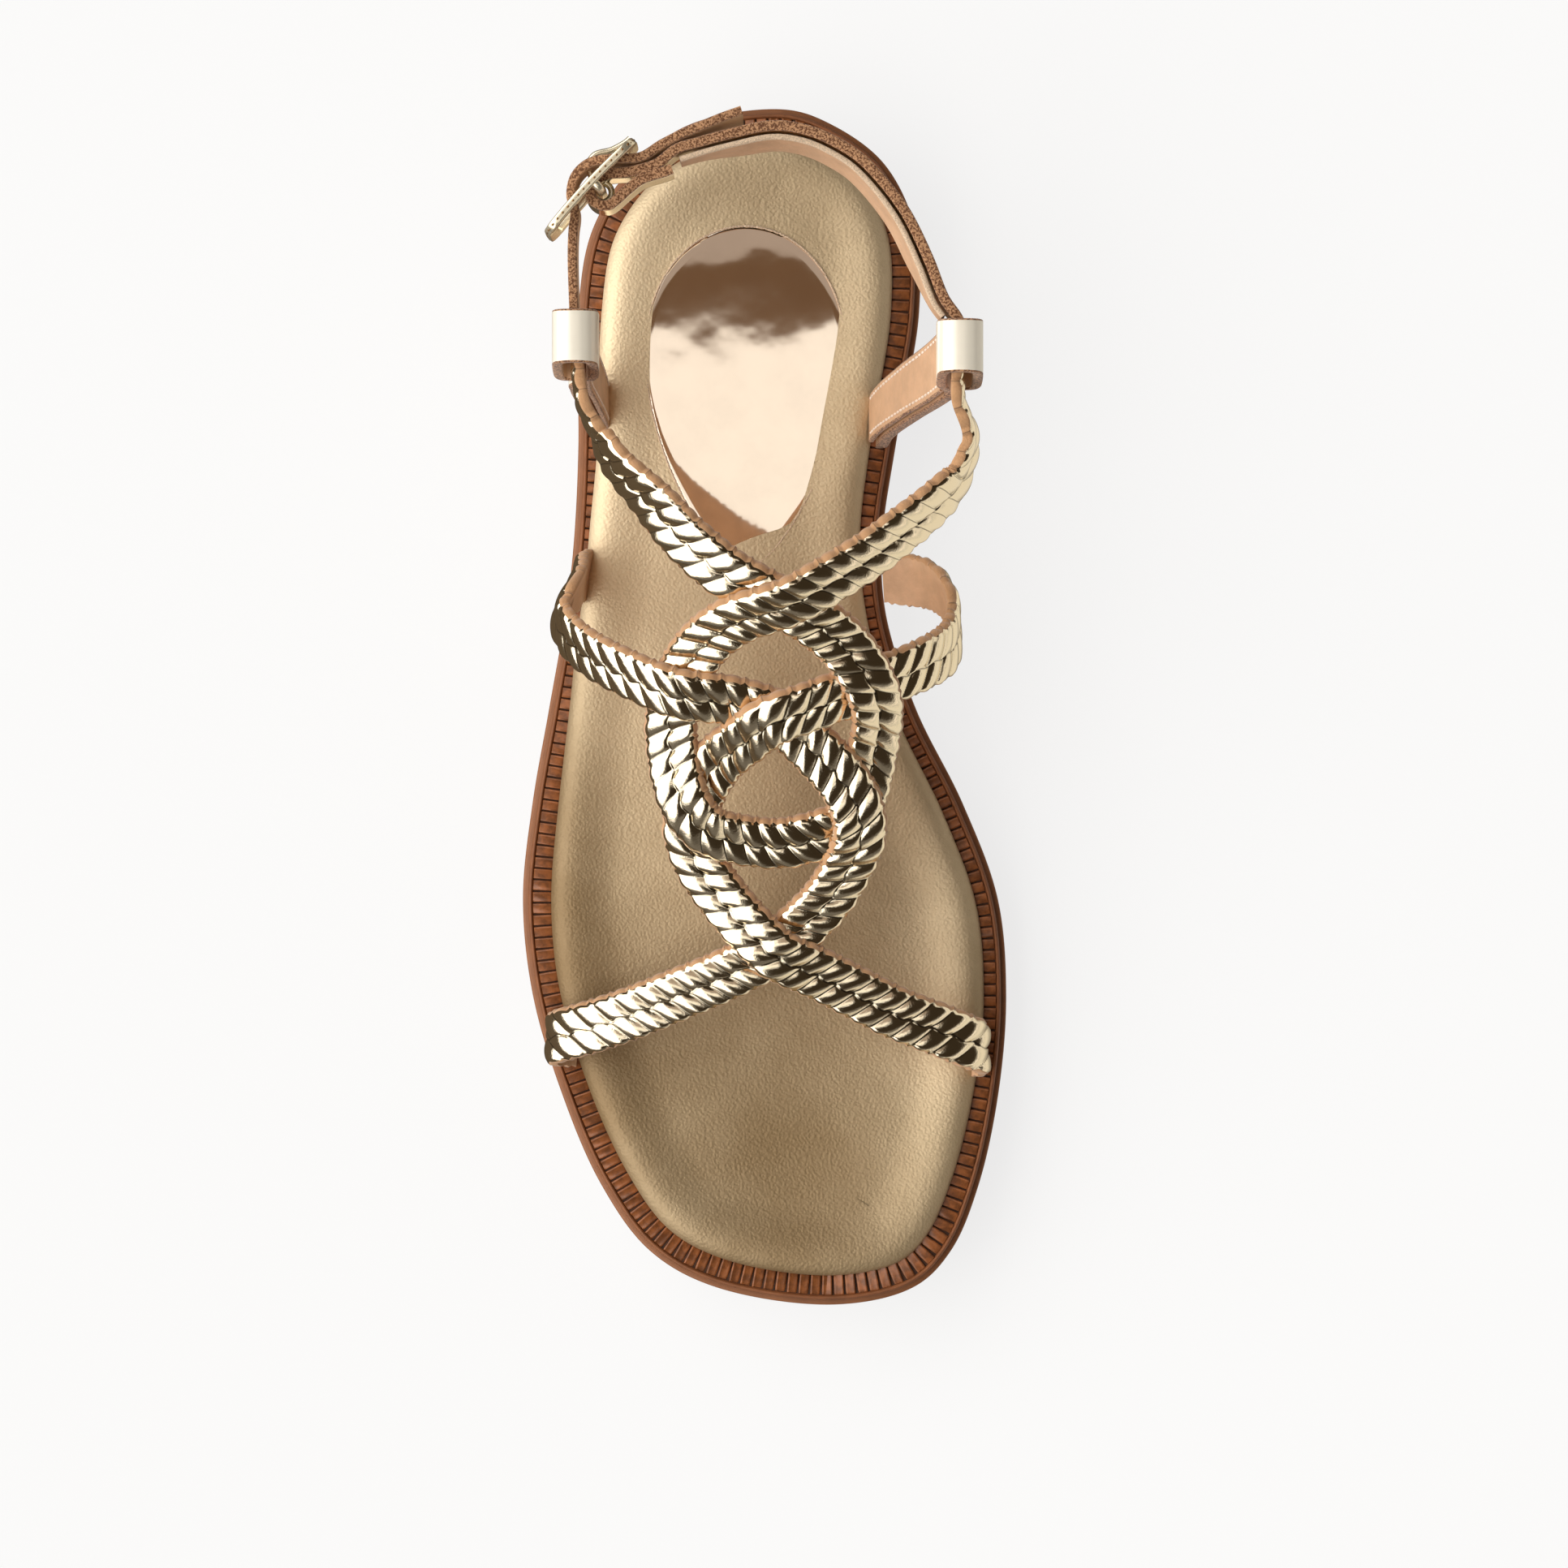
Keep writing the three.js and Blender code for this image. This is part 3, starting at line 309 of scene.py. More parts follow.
# Painted light and shade on the insole's leather, with some wear: brighter where it is lit and rubbed,
# darker where it is shaded and pressed, on a scale from 0 to 1
INSOLE_WEAR_AND_PAINTED_LIGHT = table("x y reach_x reach_y shade", [
    (-32, 70, 22, 40, 0.45),
    (-30, 20, 14, 30, 0.25),
    (30, 60, 14, 40, 0.12),
    (-4, 94, 30, 14, -0.12),
    (0, -60, 24, 34, -0.22),
    (6, -84, 20, 14, -0.25),
    (34, -50, 8, 30, 0.25),
    (4, -101, 26, 8, -0.2),
    (-40, -40, 12, 55, -0.4),
    (-38, 20, 6, 20, -0.35),
    (-26, -70, 12, 22, -0.2),
    (40, -60, 6, 40, -0.3),
])


# Smooth tables and curves

def look_up(rows, column, value, key="along"):
    """A column of a table at a share of its key, smooth and without overshoot."""
    last = len(rows) - 1
    share = min(max(value, rows[0][key]), rows[last][key])
    row = 0
    while row < last - 1 and share > rows[row + 1][key]:
        row += 1

    def slope(k):
        k = min(max(k, 0), last - 1)
        return (rows[k + 1][column] - rows[k][column]) / (rows[k + 1][key] - rows[k][key])

    def steepness(k):
        before = slope(k - 1)
        after = slope(k)
        return 2 * before * after / (before + after) if before * after > 0 else 0

    step = rows[row + 1][key] - rows[row][key]
    t = (share - rows[row][key]) / step
    rise = rows[row + 1][column] - rows[row][column]
    start = steepness(row) * step
    end = steepness(row + 1) * step
    bend = 3 * rise - 2 * start - end + t * (start + end - 2 * rise)
    return rows[row][column] + t * (start + t * bend)


def along_at(y):
    """Share of the sole's length, from the heel, at a y."""
    return 0.5 - y / SOLE_LENGTH


def y_at(along):
    """The y at a share of the sole's length from the heel."""
    return (0.5 - along) * SOLE_LENGTH


def ground_at(y):
    """Height of the sole's underside at a y."""
    return HEEL_STACK * look_up(HEIGHTS, "ground", along_at(y))


def sole_top_at(y):
    """Height of the sole's top, which carries the welt."""
    return HEEL_STACK * look_up(HEIGHTS, "top", along_at(y))


def welt_top_at(y):
    """Height of the welt's top, on which the insole's rim and the straps' feet lie."""
    return sole_top_at(y) + WELT_THICKNESS


def smooth(value, low, high):
    """0 up to low, 1 from high on, and a soft step between. Low may be the larger."""
    share = min(max((value - low) / (high - low), 0), 1)
    return share * share * (3 - 2 * share)


def soft_forms(rows, column, x, y):
    """The sum of soft round forms at a place of the plan."""
    total = 0
    for form in rows:
        reach = ((x - form["x"]) / form["reach_x"]) ** 2 + ((y - form["y"]) / form["reach_y"]) ** 2
        total += form[column] * math.exp(-reach)
    return total


def lengths_along(points):
    """Distances along a chain of points from its start."""
    found = [0]
    for a, b in zip(points, points[1:]):
        found.append(found[-1] + (b - a).length)
    return found


def even_steps(lengths, count):
    """For each of count evenly spaced places along a chain, its span and its share of the span."""
    k = 0
    for i in range(count + 1):
        target = lengths[-1] * i / count
        while k < len(lengths) - 2 and lengths[k + 1] < target:
            k += 1
        span = lengths[k + 1] - lengths[k]
        yield k, min((target - lengths[k]) / span, 1) if span > 0 else 0


def heading(points, i):
    """The way that a path runs at one of its points."""
    return (points[min(i + 1, len(points) - 1)] - points[max(i - 1, 0)]).normalized()


def left_of(ahead):
    """The way to the left of a heading in the plan."""
    return Vector((-ahead.y, ahead.x, 0))


class Curve:
    """A smooth curve through points, drawn as the solids' own curves are."""

    def __init__(self, points, closed=False, divisions=900):
        self.points = points
        self.closed = closed
        self.divisions = divisions
        self.lengths = lengths_along([self.at(i / divisions) for i in range(divisions + 1)])

    def at(self, share):
        points = self.points
        count = len(points)
        place = (count - (0 if self.closed else 1)) * share
        first = math.floor(place)
        weight = place - first
        if self.closed:
            near = [points[(first + k) % count] for k in (-1, 0, 1, 2)]
        else:
            if first >= count - 1:
                first = count - 2
                weight = 1
            before = points[first - 1] if first > 0 else 2 * points[0] - points[1]
            beyond = points[first + 2] if first + 2 < count else 2 * points[-1] - points[-2]
            near = [before, points[first], points[first + 1], beyond]
        steps = [(b - a).length ** 0.5 for a, b in zip(near, near[1:])]
        if steps[1] < MM:
            steps[1] = 1
        before, here, after = [step if step > MM else steps[1] for step in steps]
        p0, p1, p2, p3 = near
        start = ((p1 - p0) / before - (p2 - p0) / (before + here) + (p2 - p1) / here) * here
        end = ((p2 - p1) / here - (p3 - p1) / (here + after) + (p3 - p2) / after) * here
        square = -3 * p1 + 3 * p2 - 2 * start - end
        cube = 2 * p1 - 2 * p2 + start + end
        return p1 + weight * (start + weight * (square + weight * cube))

    def spaced(self, count):
        """Points evenly spaced along the curve."""
        return [self.at((k + share) / self.divisions) for k, share in even_steps(self.lengths, count)]


# Meshes

def clean(mesh, crease=40):
    """Merges doubles, turns faces outwards and shades smooth but for edges sharper than crease."""
    net = bmesh.new()
    net.from_mesh(mesh)
    bmesh.ops.remove_doubles(net, verts=net.verts, dist=0.002 * MM)
    bmesh.ops.dissolve_degenerate(net, edges=net.edges, dist=0.001 * MM)
    bmesh.ops.recalc_face_normals(net, faces=net.faces)
    net.to_mesh(mesh)
    net.free()
    mesh.polygons.foreach_set("use_smooth", [True] * len(mesh.polygons))
    mesh.set_sharp_from_angle(angle=math.radians(crease))
    mesh.update()


def shown(name, mesh):
    """An object in the scene that holds a mesh."""
    obj = bpy.data.objects.new(name, mesh)
    bpy.context.scene.collection.objects.link(obj)
    return obj


def piece(name, points, faces, slots, finishes, crease=40, shades=None):
    """An object from points in millimetres, faces, the finish of each face and the finishes.
    The shades of its points, if given, are kept for the finishes that follow them."""
    mesh = bpy.data.meshes.new(name)
    mesh.from_pydata([tuple(p * MM) for p in points], [], faces)
    if shades:
        mesh.attributes.new("shade", "FLOAT", "POINT").data.foreach_set("value", shades)
    for finish in finishes:
        mesh.materials.append(finish)
    mesh.polygons.foreach_set("material_index", slots)
    clean(mesh, crease)
    return shown(name, mesh)


def loft(rings, side_slots, caps=True, joined=False, cap_slot=0):
    """Points, faces and slots of a skin over rings of equal size."""
    size = len(rings[0])
    points = [p for ring in rings for p in ring]
    faces = []
    slots = []
    spans = len(rings) if joined else len(rings) - 1
    for ring in range(spans):
        here = ring * size
        there = (ring + 1) % len(rings) * size
        for i in range(size):
            j = (i + 1) % size
            faces.append((here + i, here + j, there + j, there + i))
            slots.append(side_slots[i])
    if caps and not joined:
        faces.append(tuple(range(size)))
        faces.append(tuple(range((len(rings) - 1) * size, len(rings) * size)))
        slots.extend([cap_slot, cap_slot])
    return points, faces, slots


def dress(obj, slot, *nodes):
    """Rides a piece on the shoe and hides the nodes that it stands for. Its slot is not used."""
    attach(obj, "root")
    if nodes:
        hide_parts(*nodes)
    return obj


# The outline of the sole, in stations that pair the outer side with the inner one

STATIONS = 300
OUTLINE_STEPS = 2400
OUTLINE_CURVE = Curve(
    [Vector((row["lateral"] * HALF_WIDTH, y_at(row["along"]), 0)) for row in OUTLINE]
    + [Vector((row["medial"] * HALF_WIDTH, y_at(row["along"]), 0)) for row in OUTLINE[-2:0:-1]],
    closed=True,
    divisions=OUTLINE_STEPS,
)


def outline_pairs():
    """Where the outline crosses each station, on its outer and its inner side."""
    steps = OUTLINE_STEPS
    dense = [OUTLINE_CURVE.at(i / steps) for i in range(steps)]
    heel = max(range(steps), key=lambda i: dense[i].y)
    toe = min(range(steps), key=lambda i: dense[i].y)
    order = [dense[(heel + i) % steps] for i in range(steps + 1)]
    turn = (toe - heel) % steps
    outer = order[:turn + 1]
    inner = order[turn:][::-1]

    def crossing(chain, y, k):
        while k < len(chain) - 2 and chain[k + 1].y > y:
            k += 1
        a, b = chain[k], chain[k + 1]
        share = (a.y - y) / (a.y - b.y) if a.y > b.y else 0
        return a.x + (b.x - a.x) * min(max(share, 0), 1), k

    top = outer[0].y
    low = outer[-1].y
    pairs = []
    k = m = 0
    for i in range(STATIONS + 1):
        y = (top + low) / 2 + (top - low) / 2 * math.cos(math.pi * i / STATIONS)
        left, k = crossing(outer, y, k)
        right, m = crossing(inner, y, m)
        pairs.append((left, right, y))
    return pairs


PAIRS = outline_pairs()


def outline_places():
    """Places round the outline from the heel down the outer side and back: point, inward, margin."""
    points = [Vector((left, y, 0)) for left, _, y in PAIRS]
    points += [Vector((right, y, 0)) for _, right, y in PAIRS[-2:0:-1]]
    count = len(points)
    found = []
    for i, point in enumerate(points):
        ahead = points[(i + 1) % count] - points[i - 1]
        inward = Vector((-ahead.y, ahead.x, 0)).normalized()
        column = "lateral_margin" if i <= STATIONS else "medial_margin"
        margin = WELT_MARGIN * look_up(OUTLINE, column, along_at(point.y))
        found.append((point, inward, margin))
    return found


PLACES = outline_places()
SPINE_SHARE = 0.78


def spine_at(i):
    """The point of the sole's middle line that a place is paired with."""
    point = PLACES[i][0]
    y = point.y * SPINE_SHARE
    share = along_at(y)
    middle = (look_up(OUTLINE, "lateral", share) + look_up(OUTLINE, "medial", share)) / 2
    return Vector((middle * HALF_WIDTH, y, 0))


SPINE = [spine_at(i) for i in range(len(PLACES))]


def ring_at(inset, height):
    """A ring of the outline moved in by inset(place), at height(point)."""
    ring = []
    for point, inward, margin in PLACES:
        p = point + inward * inset(margin)
        p.z = height(p)
        ring.append(p)
    return ring


def rings_to_spine(ring, height, steps):
    """Rings that close a level towards the middle line of the sole."""
    found = []
    for k in range(1, steps + 1):
        share = k / steps
        inner = []
        for p, target in zip(ring, SPINE):
            q = Vector((p.x + (target.x - p.x) * share, p.y + (target.y - p.y) * share, 0))
            q.z = height(q)
            inner.append(q)
        found.append(inner)
    return found


# Places over the last

DEGREE_LENGTH = 0.8 * HALF_WIDTH * math.radians(1)


def last_point(along, around):
    """A point of the last, at a share of the length and degrees round from the crown."""
    angle = math.radians(around)
    widest = look_up(LAST, "widest", along) * INSTEP_HEIGHT
    if abs(around) <= 90:
        height = look_up(LAST, "crown", along) * INSTEP_HEIGHT - widest
    else:
        height = widest - look_up(LAST, "outer" if around < 0 else "inner", along) * INSTEP_HEIGHT
    reach = look_up(LAST, "centre", along) + look_up(LAST, "half", along) * math.sin(angle)
    return Vector((HALF_WIDTH * reach, y_at(along), widest + height * math.cos(angle)))


def last_normal(along, around):
    """The way out of the last at a point of it."""
    step = 0.004
    down = last_point(along + step, around) - last_point(along - step, around)
    side = last_point(along, around + 1) - last_point(along, around - 1)
    return down.cross(side).normalized()


# Places by the ankle and the buckle

FRONT_Y = y_at(SLEEVES["medial"]["head"])


def ankle_spot(row):
    """A point of the plan from a row of across and along."""
    return Vector((row["across"] * HALF_WIDTH, y_at(row["along"]), 0))


BUCKLE_MIDDLE = ankle_spot(BUCKLE_PLACE)
BUCKLE_TURN = math.radians(BUCKLE_PLACE["turn"])
BUCKLE_RUN = Vector((math.cos(BUCKLE_TURN), math.sin(BUCKLE_TURN), 0))
BUCKLE_OUT = Vector((-BUCKLE_RUN.y, BUCKLE_RUN.x, 0))
HALF_BUCKLE = BUCKLE_LENGTH / 2
BUCKLE_Z = ANKLE_HEIGHT + ANKLE_RISE * (BUCKLE_MIDDLE.y - FRONT_Y)


def buckle_spot(row):
    """A point of the plan from a row of run and out, counted from the buckle."""
    return BUCKLE_MIDDLE + (BUCKLE_RUN * row["run"] + BUCKLE_OUT * row["out"]) * HALF_BUCKLE


def buckle_point(run, up, out):
    """A point in millimetres from the buckle's middle."""
    p = BUCKLE_MIDDLE + BUCKLE_RUN * run + BUCKLE_OUT * out
    return Vector((p.x, p.y, BUCKLE_Z + up))


def stand(x, y, height):
    """Lifts a point of the plan to the ankle, where the strap rises and leans out round the heel."""
    share = smooth(y, FRONT_Y + SLEEVE_LENGTH / 2, FRONT_Y + 1.6 * SLEEVE_LENGTH)
    share *= smooth(x, -0.3 * HALF_WIDTH, 0)
    reach = height * math.tan(math.radians(ANKLE_LEAN)) * share
    outward = Vector((x, y - FRONT_Y)).normalized() * reach
    rise = ANKLE_RISE * (y - FRONT_Y)
    return Vector((x + outward.x, y + outward.y, ANKLE_HEIGHT + height + rise))


def fold_points():
    """The route of the ankle strap's end, round the bar and back."""
    spots = [buckle_spot(row) for row in FOLD]
    for angle in (90, 120, 150, 180, 210, 240, 270):
        run = BAR_RUN + FOLD_SLACK / 2 + FOLD_RADIUS * math.cos(math.radians(angle))
        out = FOLD_RADIUS * math.sin(math.radians(angle)) - BAR_INSET - FOLD_SLACK
        spots.append(BUCKLE_MIDDLE + BUCKLE_RUN * run + BUCKLE_OUT * out)
    return spots + [buckle_spot(row) for row in FOLDED]


# Leather bands

OUTSIDE, EDGE, INSIDE = 0, 1, 2


def band_profile(width, wall, corner=0.35, steps=8):
    """A section of cut leather: places across its width and through its wall, and their finishes."""
    flat = width / 2 - corner
    deep = wall / 2 - corner
    found = [(flat * (2 * k / steps - 1), -wall / 2, OUTSIDE) for k in range(steps + 1)]
    for way, angles in ((-1, (30, 60, 90)), (1, (90, 60, 30))):
        for angle in map(math.radians, angles):
            through = way * (deep + corner * math.cos(angle))
            found.append((flat + corner * math.sin(angle), through, EDGE))
    return found + [(-x, -z, INSIDE if kind == OUTSIDE else EDGE) for x, z, kind in found]


def band_slots(profile):
    """The finish of each side of a section, which is an edge's where two finishes meet."""
    slots = []
    for i, point in enumerate(profile):
        after = profile[(i + 1) % len(profile)]
        slots.append(point[2] if point[2] == after[2] else EDGE)
    return slots


def plan_band(name, points, wall, width, finishes):
    """A band that stands on its edge round the ankle, along points of the plan."""
    profile = band_profile(width, wall)
    rings = []
    for i, p in enumerate(points):
        normal = left_of(heading(points, i))
        spots = [(p + normal * through, across) for across, through, _ in profile]
        rings.append([stand(q.x, q.y, across) for q, across in spots])
    return piece(name, *loft(rings, band_slots(profile), cap_slot=EDGE), finishes)


# Finishes

# Detail and roughness of the grained noise and of the smooth swells
NOISES = {"noise": (4, 0.6), "swell": (1, 0.3)}


def tone(red, green, blue):
    """A colour from its screen values, as the linear values that shaders take."""
    linear = []
    for value in (red, green, blue):
        share = value / 255
        linear.append(share / 12.92 if share <= 0.04045 else ((share + 0.055) / 1.055) ** 2.4)
    return (*linear, 1)


def add_node(tree, kind, values=None, **settings):
    """A node of a tree, with its settings and the values of its sockets."""
    node = tree.nodes.new(kind)
    for key, value in settings.items():
        setattr(node, key, value)
    for key, value in (values or {}).items():
        node.inputs[key].default_value = value
    return node


def ramp(tree, factor, stops):
    """A colour ramp over a factor, from stops of place and colour."""
    node = add_node(tree, "ShaderNodeValToRGB")
    node.color_ramp.interpolation = "EASE"
    elements = node.color_ramp.elements
    for element, (place, colour) in zip(elements, stops):
        element.position = place
        element.color = colour
    tree.links.new(factor, node.inputs["Fac"])
    return node.outputs["Color"]


def pattern(tree, place, kind, size, stretch=(1, 1, 1)):
    """A pattern of a given grain in millimetres, on the piece's own coordinates."""
    mapping = add_node(tree, "ShaderNodeMapping", {"Scale": [1 / (MM * size * s) for s in stretch]})
    tree.links.new(place, mapping.inputs["Vector"])
    if kind == "cells":
        node = add_node(tree, "ShaderNodeTexVoronoi", {"Scale": 1}, feature="SMOOTH_F1")
        found = node.outputs["Distance"]
    else:
        detail, roughness = NOISES[kind]
        values = {"Scale": 1, "Detail": detail, "Roughness": roughness}
        node = add_node(tree, "ShaderNodeTexNoise", values)
        found = node.outputs["Fac"]
    tree.links.new(mapping.outputs["Vector"], node.inputs["Vector"])
    return found


def finish(name, stops, blotch, roughness, metallic=0, reliefs=(), coat=0, sheen=0, attribute=""):
    """A finish: colours over a blotch size, gloss, metal, and relief as kind, size and depth.
    The colours may follow an attribute of the mesh, with a tenth of blotches in it."""
    material = bpy.data.materials.new(name)
    material.use_nodes = True
    tree = material.node_tree
    shader = tree.nodes["Principled BSDF"]
    place = add_node(tree, "ShaderNodeTexCoord").outputs["Object"]
    factor = pattern(tree, place, "noise", blotch)
    if attribute:
        own = add_node(tree, "ShaderNodeAttribute", attribute_name=attribute)
        both = add_node(tree, "ShaderNodeMath", {1: 0.2, 2: -0.1}, operation="MULTIPLY_ADD")
        tree.links.new(factor, both.inputs[0])
        total = add_node(tree, "ShaderNodeMath", operation="ADD")
        tree.links.new(both.outputs[0], total.inputs[0])
        tree.links.new(own.outputs["Fac"], total.inputs[1])
        factor = total.outputs[0]
    colour = ramp(tree, factor, stops)
    tree.links.new(colour, shader.inputs["Base Color"])
    shader.inputs["Metallic"].default_value = metallic
    shader.inputs["Coat Weight"].default_value = coat
    shader.inputs["Coat Roughness"].default_value = 0.25
    shader.inputs["Sheen Weight"].default_value = sheen
    spread = add_node(tree, "ShaderNodeMapRange", {
        "To Min": roughness * 0.8,
        "To Max": roughness * 1.2,
    })
    tree.links.new(pattern(tree, place, "noise", blotch * 1.7), spread.inputs["Value"])
    tree.links.new(spread.outputs["Result"], shader.inputs["Roughness"])
    normal = None
    for relief_kind, size, depth, *stretch in reliefs:
        bump = add_node(tree, "ShaderNodeBump", {"Strength": 1, "Distance": depth * MM})
        height = pattern(tree, place, relief_kind, size, *stretch)
        tree.links.new(height, bump.inputs["Height"])
        if normal:
            tree.links.new(normal, bump.inputs["Normal"])
        normal = bump.outputs["Normal"]
    if normal:
        tree.links.new(normal, shader.inputs["Normal"])
    return material


FINISHES = {}


def make_finishes(colours):
    """Makes every finish once, from the colours that a user may change."""
    def shade(colour, share):
        return (*[channel * share for channel in colour[:3]], 1)

    def stops(light, share, low=0.3, high=0.7, dark=None):
        return [(low, shade(light if dark is None else dark, share)), (high, shade(light, 1))]

    c = colours
    rows = {
        # The foil darkens to 0.16 of its colour where the ropes' attribute paints shade in their
        # grooves and valley
        "foil": ("gold_foil", stops(c.foil, 0.16, 0, 0.85), 1.2, 0.13, 1,
                 [("noise", 2.6, 0.04), ("noise", 0.35, 0.02)], {"attribute": "shade"}),
        "plain": ("plain_foil", stops(c.foil, 0.9), 3, 0.13, 1, [("noise", 2.6, 0.04)], {}),
        "mirror": ("mirror_foil", stops(c.mirror, 0.95), 8, 0.05, 1,
                   [("swell", 11, 0.1), ("swell", 3, 0.006)], {}),
        "buckle": ("buckle_gold", stops(c.buckle, 0.92), 4, 0.24, 0.75, [("noise", 2.5, 0.03)], {}),
        "sleeve": ("sleeve_foil", stops(c.sleeve, 0.97), 6, 0.3, 0.15,
                   [("noise", 5, 0.08)], {"coat": 0.3}),
        "dot": ("buckle_dots", stops(c.dot, 0.8), 2, 0.4, 0.6, [], {}),
        # The cut edges darken to 0.4 of their colour where the ropes' attribute paints shade between
        # the lobes
        "edge": ("cut_edge", stops(c.edge, 0.4, 0, 0.8), 0.4, 0.9, 0,
                 [("noise", 0.35, 0.14)], {"sheen": 0.3, "attribute": "shade"}),
        "suede": ("speckled_suede", stops(c.suede_light, 1, 0.42, 0.58, c.suede_dark), 0.35, 0.95, 0,
                  [("noise", 0.3, 0.15)], {"sheen": 0.3}),
        "fray": ("frayed_edge", stops(c.fray, 0.7, 0.4, 0.6), 0.25, 0.95, 0,
                 [("noise", 0.3, 0.2)], {"sheen": 0.4}),
        "lining": ("lining_leather", stops(c.lining, 0.85), 4, 0.55, 0,
                   [("cells", 0.9, 0.05), ("noise", 3, 0.25)], {}),
        # The insole runs from its dark to its light colour over its painted light and shade, with some
        # wear
        "insole": ("insole_leather", stops(c.insole, 1, 0, 1, c.insole_pressed_and_shaded), 9, 0.55, 0.4,
                   [("cells", 0.5, 0.11), ("noise", 0.3, 0.06)], {"attribute": "shade"}),
        "welt": ("welt_leather", stops(c.welt, 0.5, 0.35, 0.65), 1.6, 0.45, 0,
                 [("noise", 0.8, 0.06)], {"coat": 0.15}),
        # The welt strip under the ribs is painted at a tenth to a fifth of the welt's colour: painted
        # shade in the grooves between the ribs
        "groove": ("welt_groove", stops(shade(c.welt, 0.2), 0.5), 2, 0.8, 0, [], {}),
        "bead": ("welt_bead", stops(c.bead, 0.75), 3, 0.6, 0, [("noise", 1.2, 0.05)], {}),
        "outsole": ("sole_rubber", stops(c.outsole, 0.8), 5, 0.6, 0,
                    [("noise", 0.6, 0.05), ("noise", 6, 0.1, (6, 6, 0.6))], {}),
        "lip": ("sole_lip", stops(c.lip, 0.85), 4, 0.5, 0, [("noise", 0.8, 0.05)], {}),
        "thread": ("stitch_thread", stops(c.thread, 0.8, 0.35, 0.65), 0.4, 0.7, 0,
                   [("noise", 0.25, 0.06)], {"sheen": 0.2}),
    }
    for key, (*values, more) in rows.items():
        FINISHES[key] = finish(*values, **more)


# Rows of small things along a path, made with Geometry Nodes

ROW_INPUTS = {
    "Path": "Geometry", "Shape": "Object", "Pitch": "Float", "Size": "Vector",
    "Looseness": "Float", "Seed": "Int", "Material": "Material",
}
# Node and output, then node and input
ROW_LINKS = (
    ("given", "Path", "path", "Mesh"),
    ("path", "Curve", "resampled", "Curve"),
    ("given", "Pitch", "resampled", "Length"),
    ("up", "Attribute", "upright", "Vector"),
    ("upright", "Rotation", "turned", "Rotation"),
    ("ahead", "Tangent", "turned", "Vector"),
    ("given", "Looseness", "least", 0),
    ("least", 0, "chance", "Min"),
    ("given", "Looseness", "chance", "Max"),
    ("given", "Seed", "chance", "Seed"),
    ("chance", "Value", "euler", "Euler"),
    ("turned", "Rotation", "shaken", "Rotation"),
    ("euler", "Rotation", "shaken", "Rotate By"),
    ("chance", "Value", "growth", 0),
    ("reach", "Attribute", "wide", "Y"),
    ("given", "Size", "scale", 0),
    ("wide", "Vector", "scale", 1),
    ("scale", "Vector", "grown", 0),
    ("growth", "Vector", "grown", 1),
    ("given", "Shape", "shape", "Object"),
    ("resampled", "Curve", "placed", "Points"),
    ("shape", "Geometry", "placed", "Instance"),
    ("shaken", "Rotation", "placed", "Rotation"),
    ("grown", "Vector", "placed", "Scale"),
    ("placed", "Instances", "real", "Geometry"),
    ("real", "Geometry", "dressed", "Geometry"),
    ("given", "Material", "dressed", "Material"),
    ("dressed", "Geometry", "result", "Row"),
)


def row_tree():
    """Repeats a shape along a path at a pitch, turned to the path and to the way up stored on it."""
    tree = bpy.data.node_groups.new("row_along_path", "GeometryNodeTree")
    tree.is_modifier = True
    for label, kind in ROW_INPUTS.items():
        tree.interface.new_socket(label, in_out="INPUT", socket_type="NodeSocket" + kind)
    tree.interface.new_socket("Row", in_out="OUTPUT", socket_type="NodeSocketGeometry")

    def node(kind, values=None, **settings):
        return add_node(tree, kind, values, **settings)

    nodes = {
        "given": node("NodeGroupInput"),
        "path": node("GeometryNodeMeshToCurve"),
        "resampled": node("GeometryNodeResampleCurve", mode="LENGTH"),
        "up": node("GeometryNodeInputNamedAttribute", {"Name": "up"}, data_type="FLOAT_VECTOR"),
        "reach": node("GeometryNodeInputNamedAttribute", {"Name": "reach"}, data_type="FLOAT"),
        "ahead": node("GeometryNodeInputTangent"),
        "upright": node("FunctionNodeAlignRotationToVector", axis="Z"),
        "turned": node("FunctionNodeAlignRotationToVector", axis="X", pivot_axis="Z"),
        "least": node("ShaderNodeMath", {1: -1}, operation="MULTIPLY"),
        "chance": node("FunctionNodeRandomValue", data_type="FLOAT_VECTOR"),
        "euler": node("FunctionNodeEulerToRotation"),
        "shaken": node("FunctionNodeRotateRotation", rotation_space="LOCAL"),
        "growth": node(
            "ShaderNodeVectorMath", {1: (0.5, 0.5, 0.5), 2: (1, 1, 1)}, operation="MULTIPLY_ADD"),
        "wide": node("ShaderNodeCombineXYZ", {"X": 1, "Z": 1}),
        "scale": node("ShaderNodeVectorMath", operation="MULTIPLY"),
        "grown": node("ShaderNodeVectorMath", operation="MULTIPLY"),
        "shape": node("GeometryNodeObjectInfo", {"As Instance": True}),
        "placed": node("GeometryNodeInstanceOnPoints"),
        "real": node("GeometryNodeRealizeInstances"),
        "dressed": node("GeometryNodeSetMaterial"),
        "result": node("NodeGroupOutput"),
    }
    for source, output, target, socket in ROW_LINKS:
        tree.links.new(nodes[source].outputs[output], nodes[target].inputs[socket])
    return tree


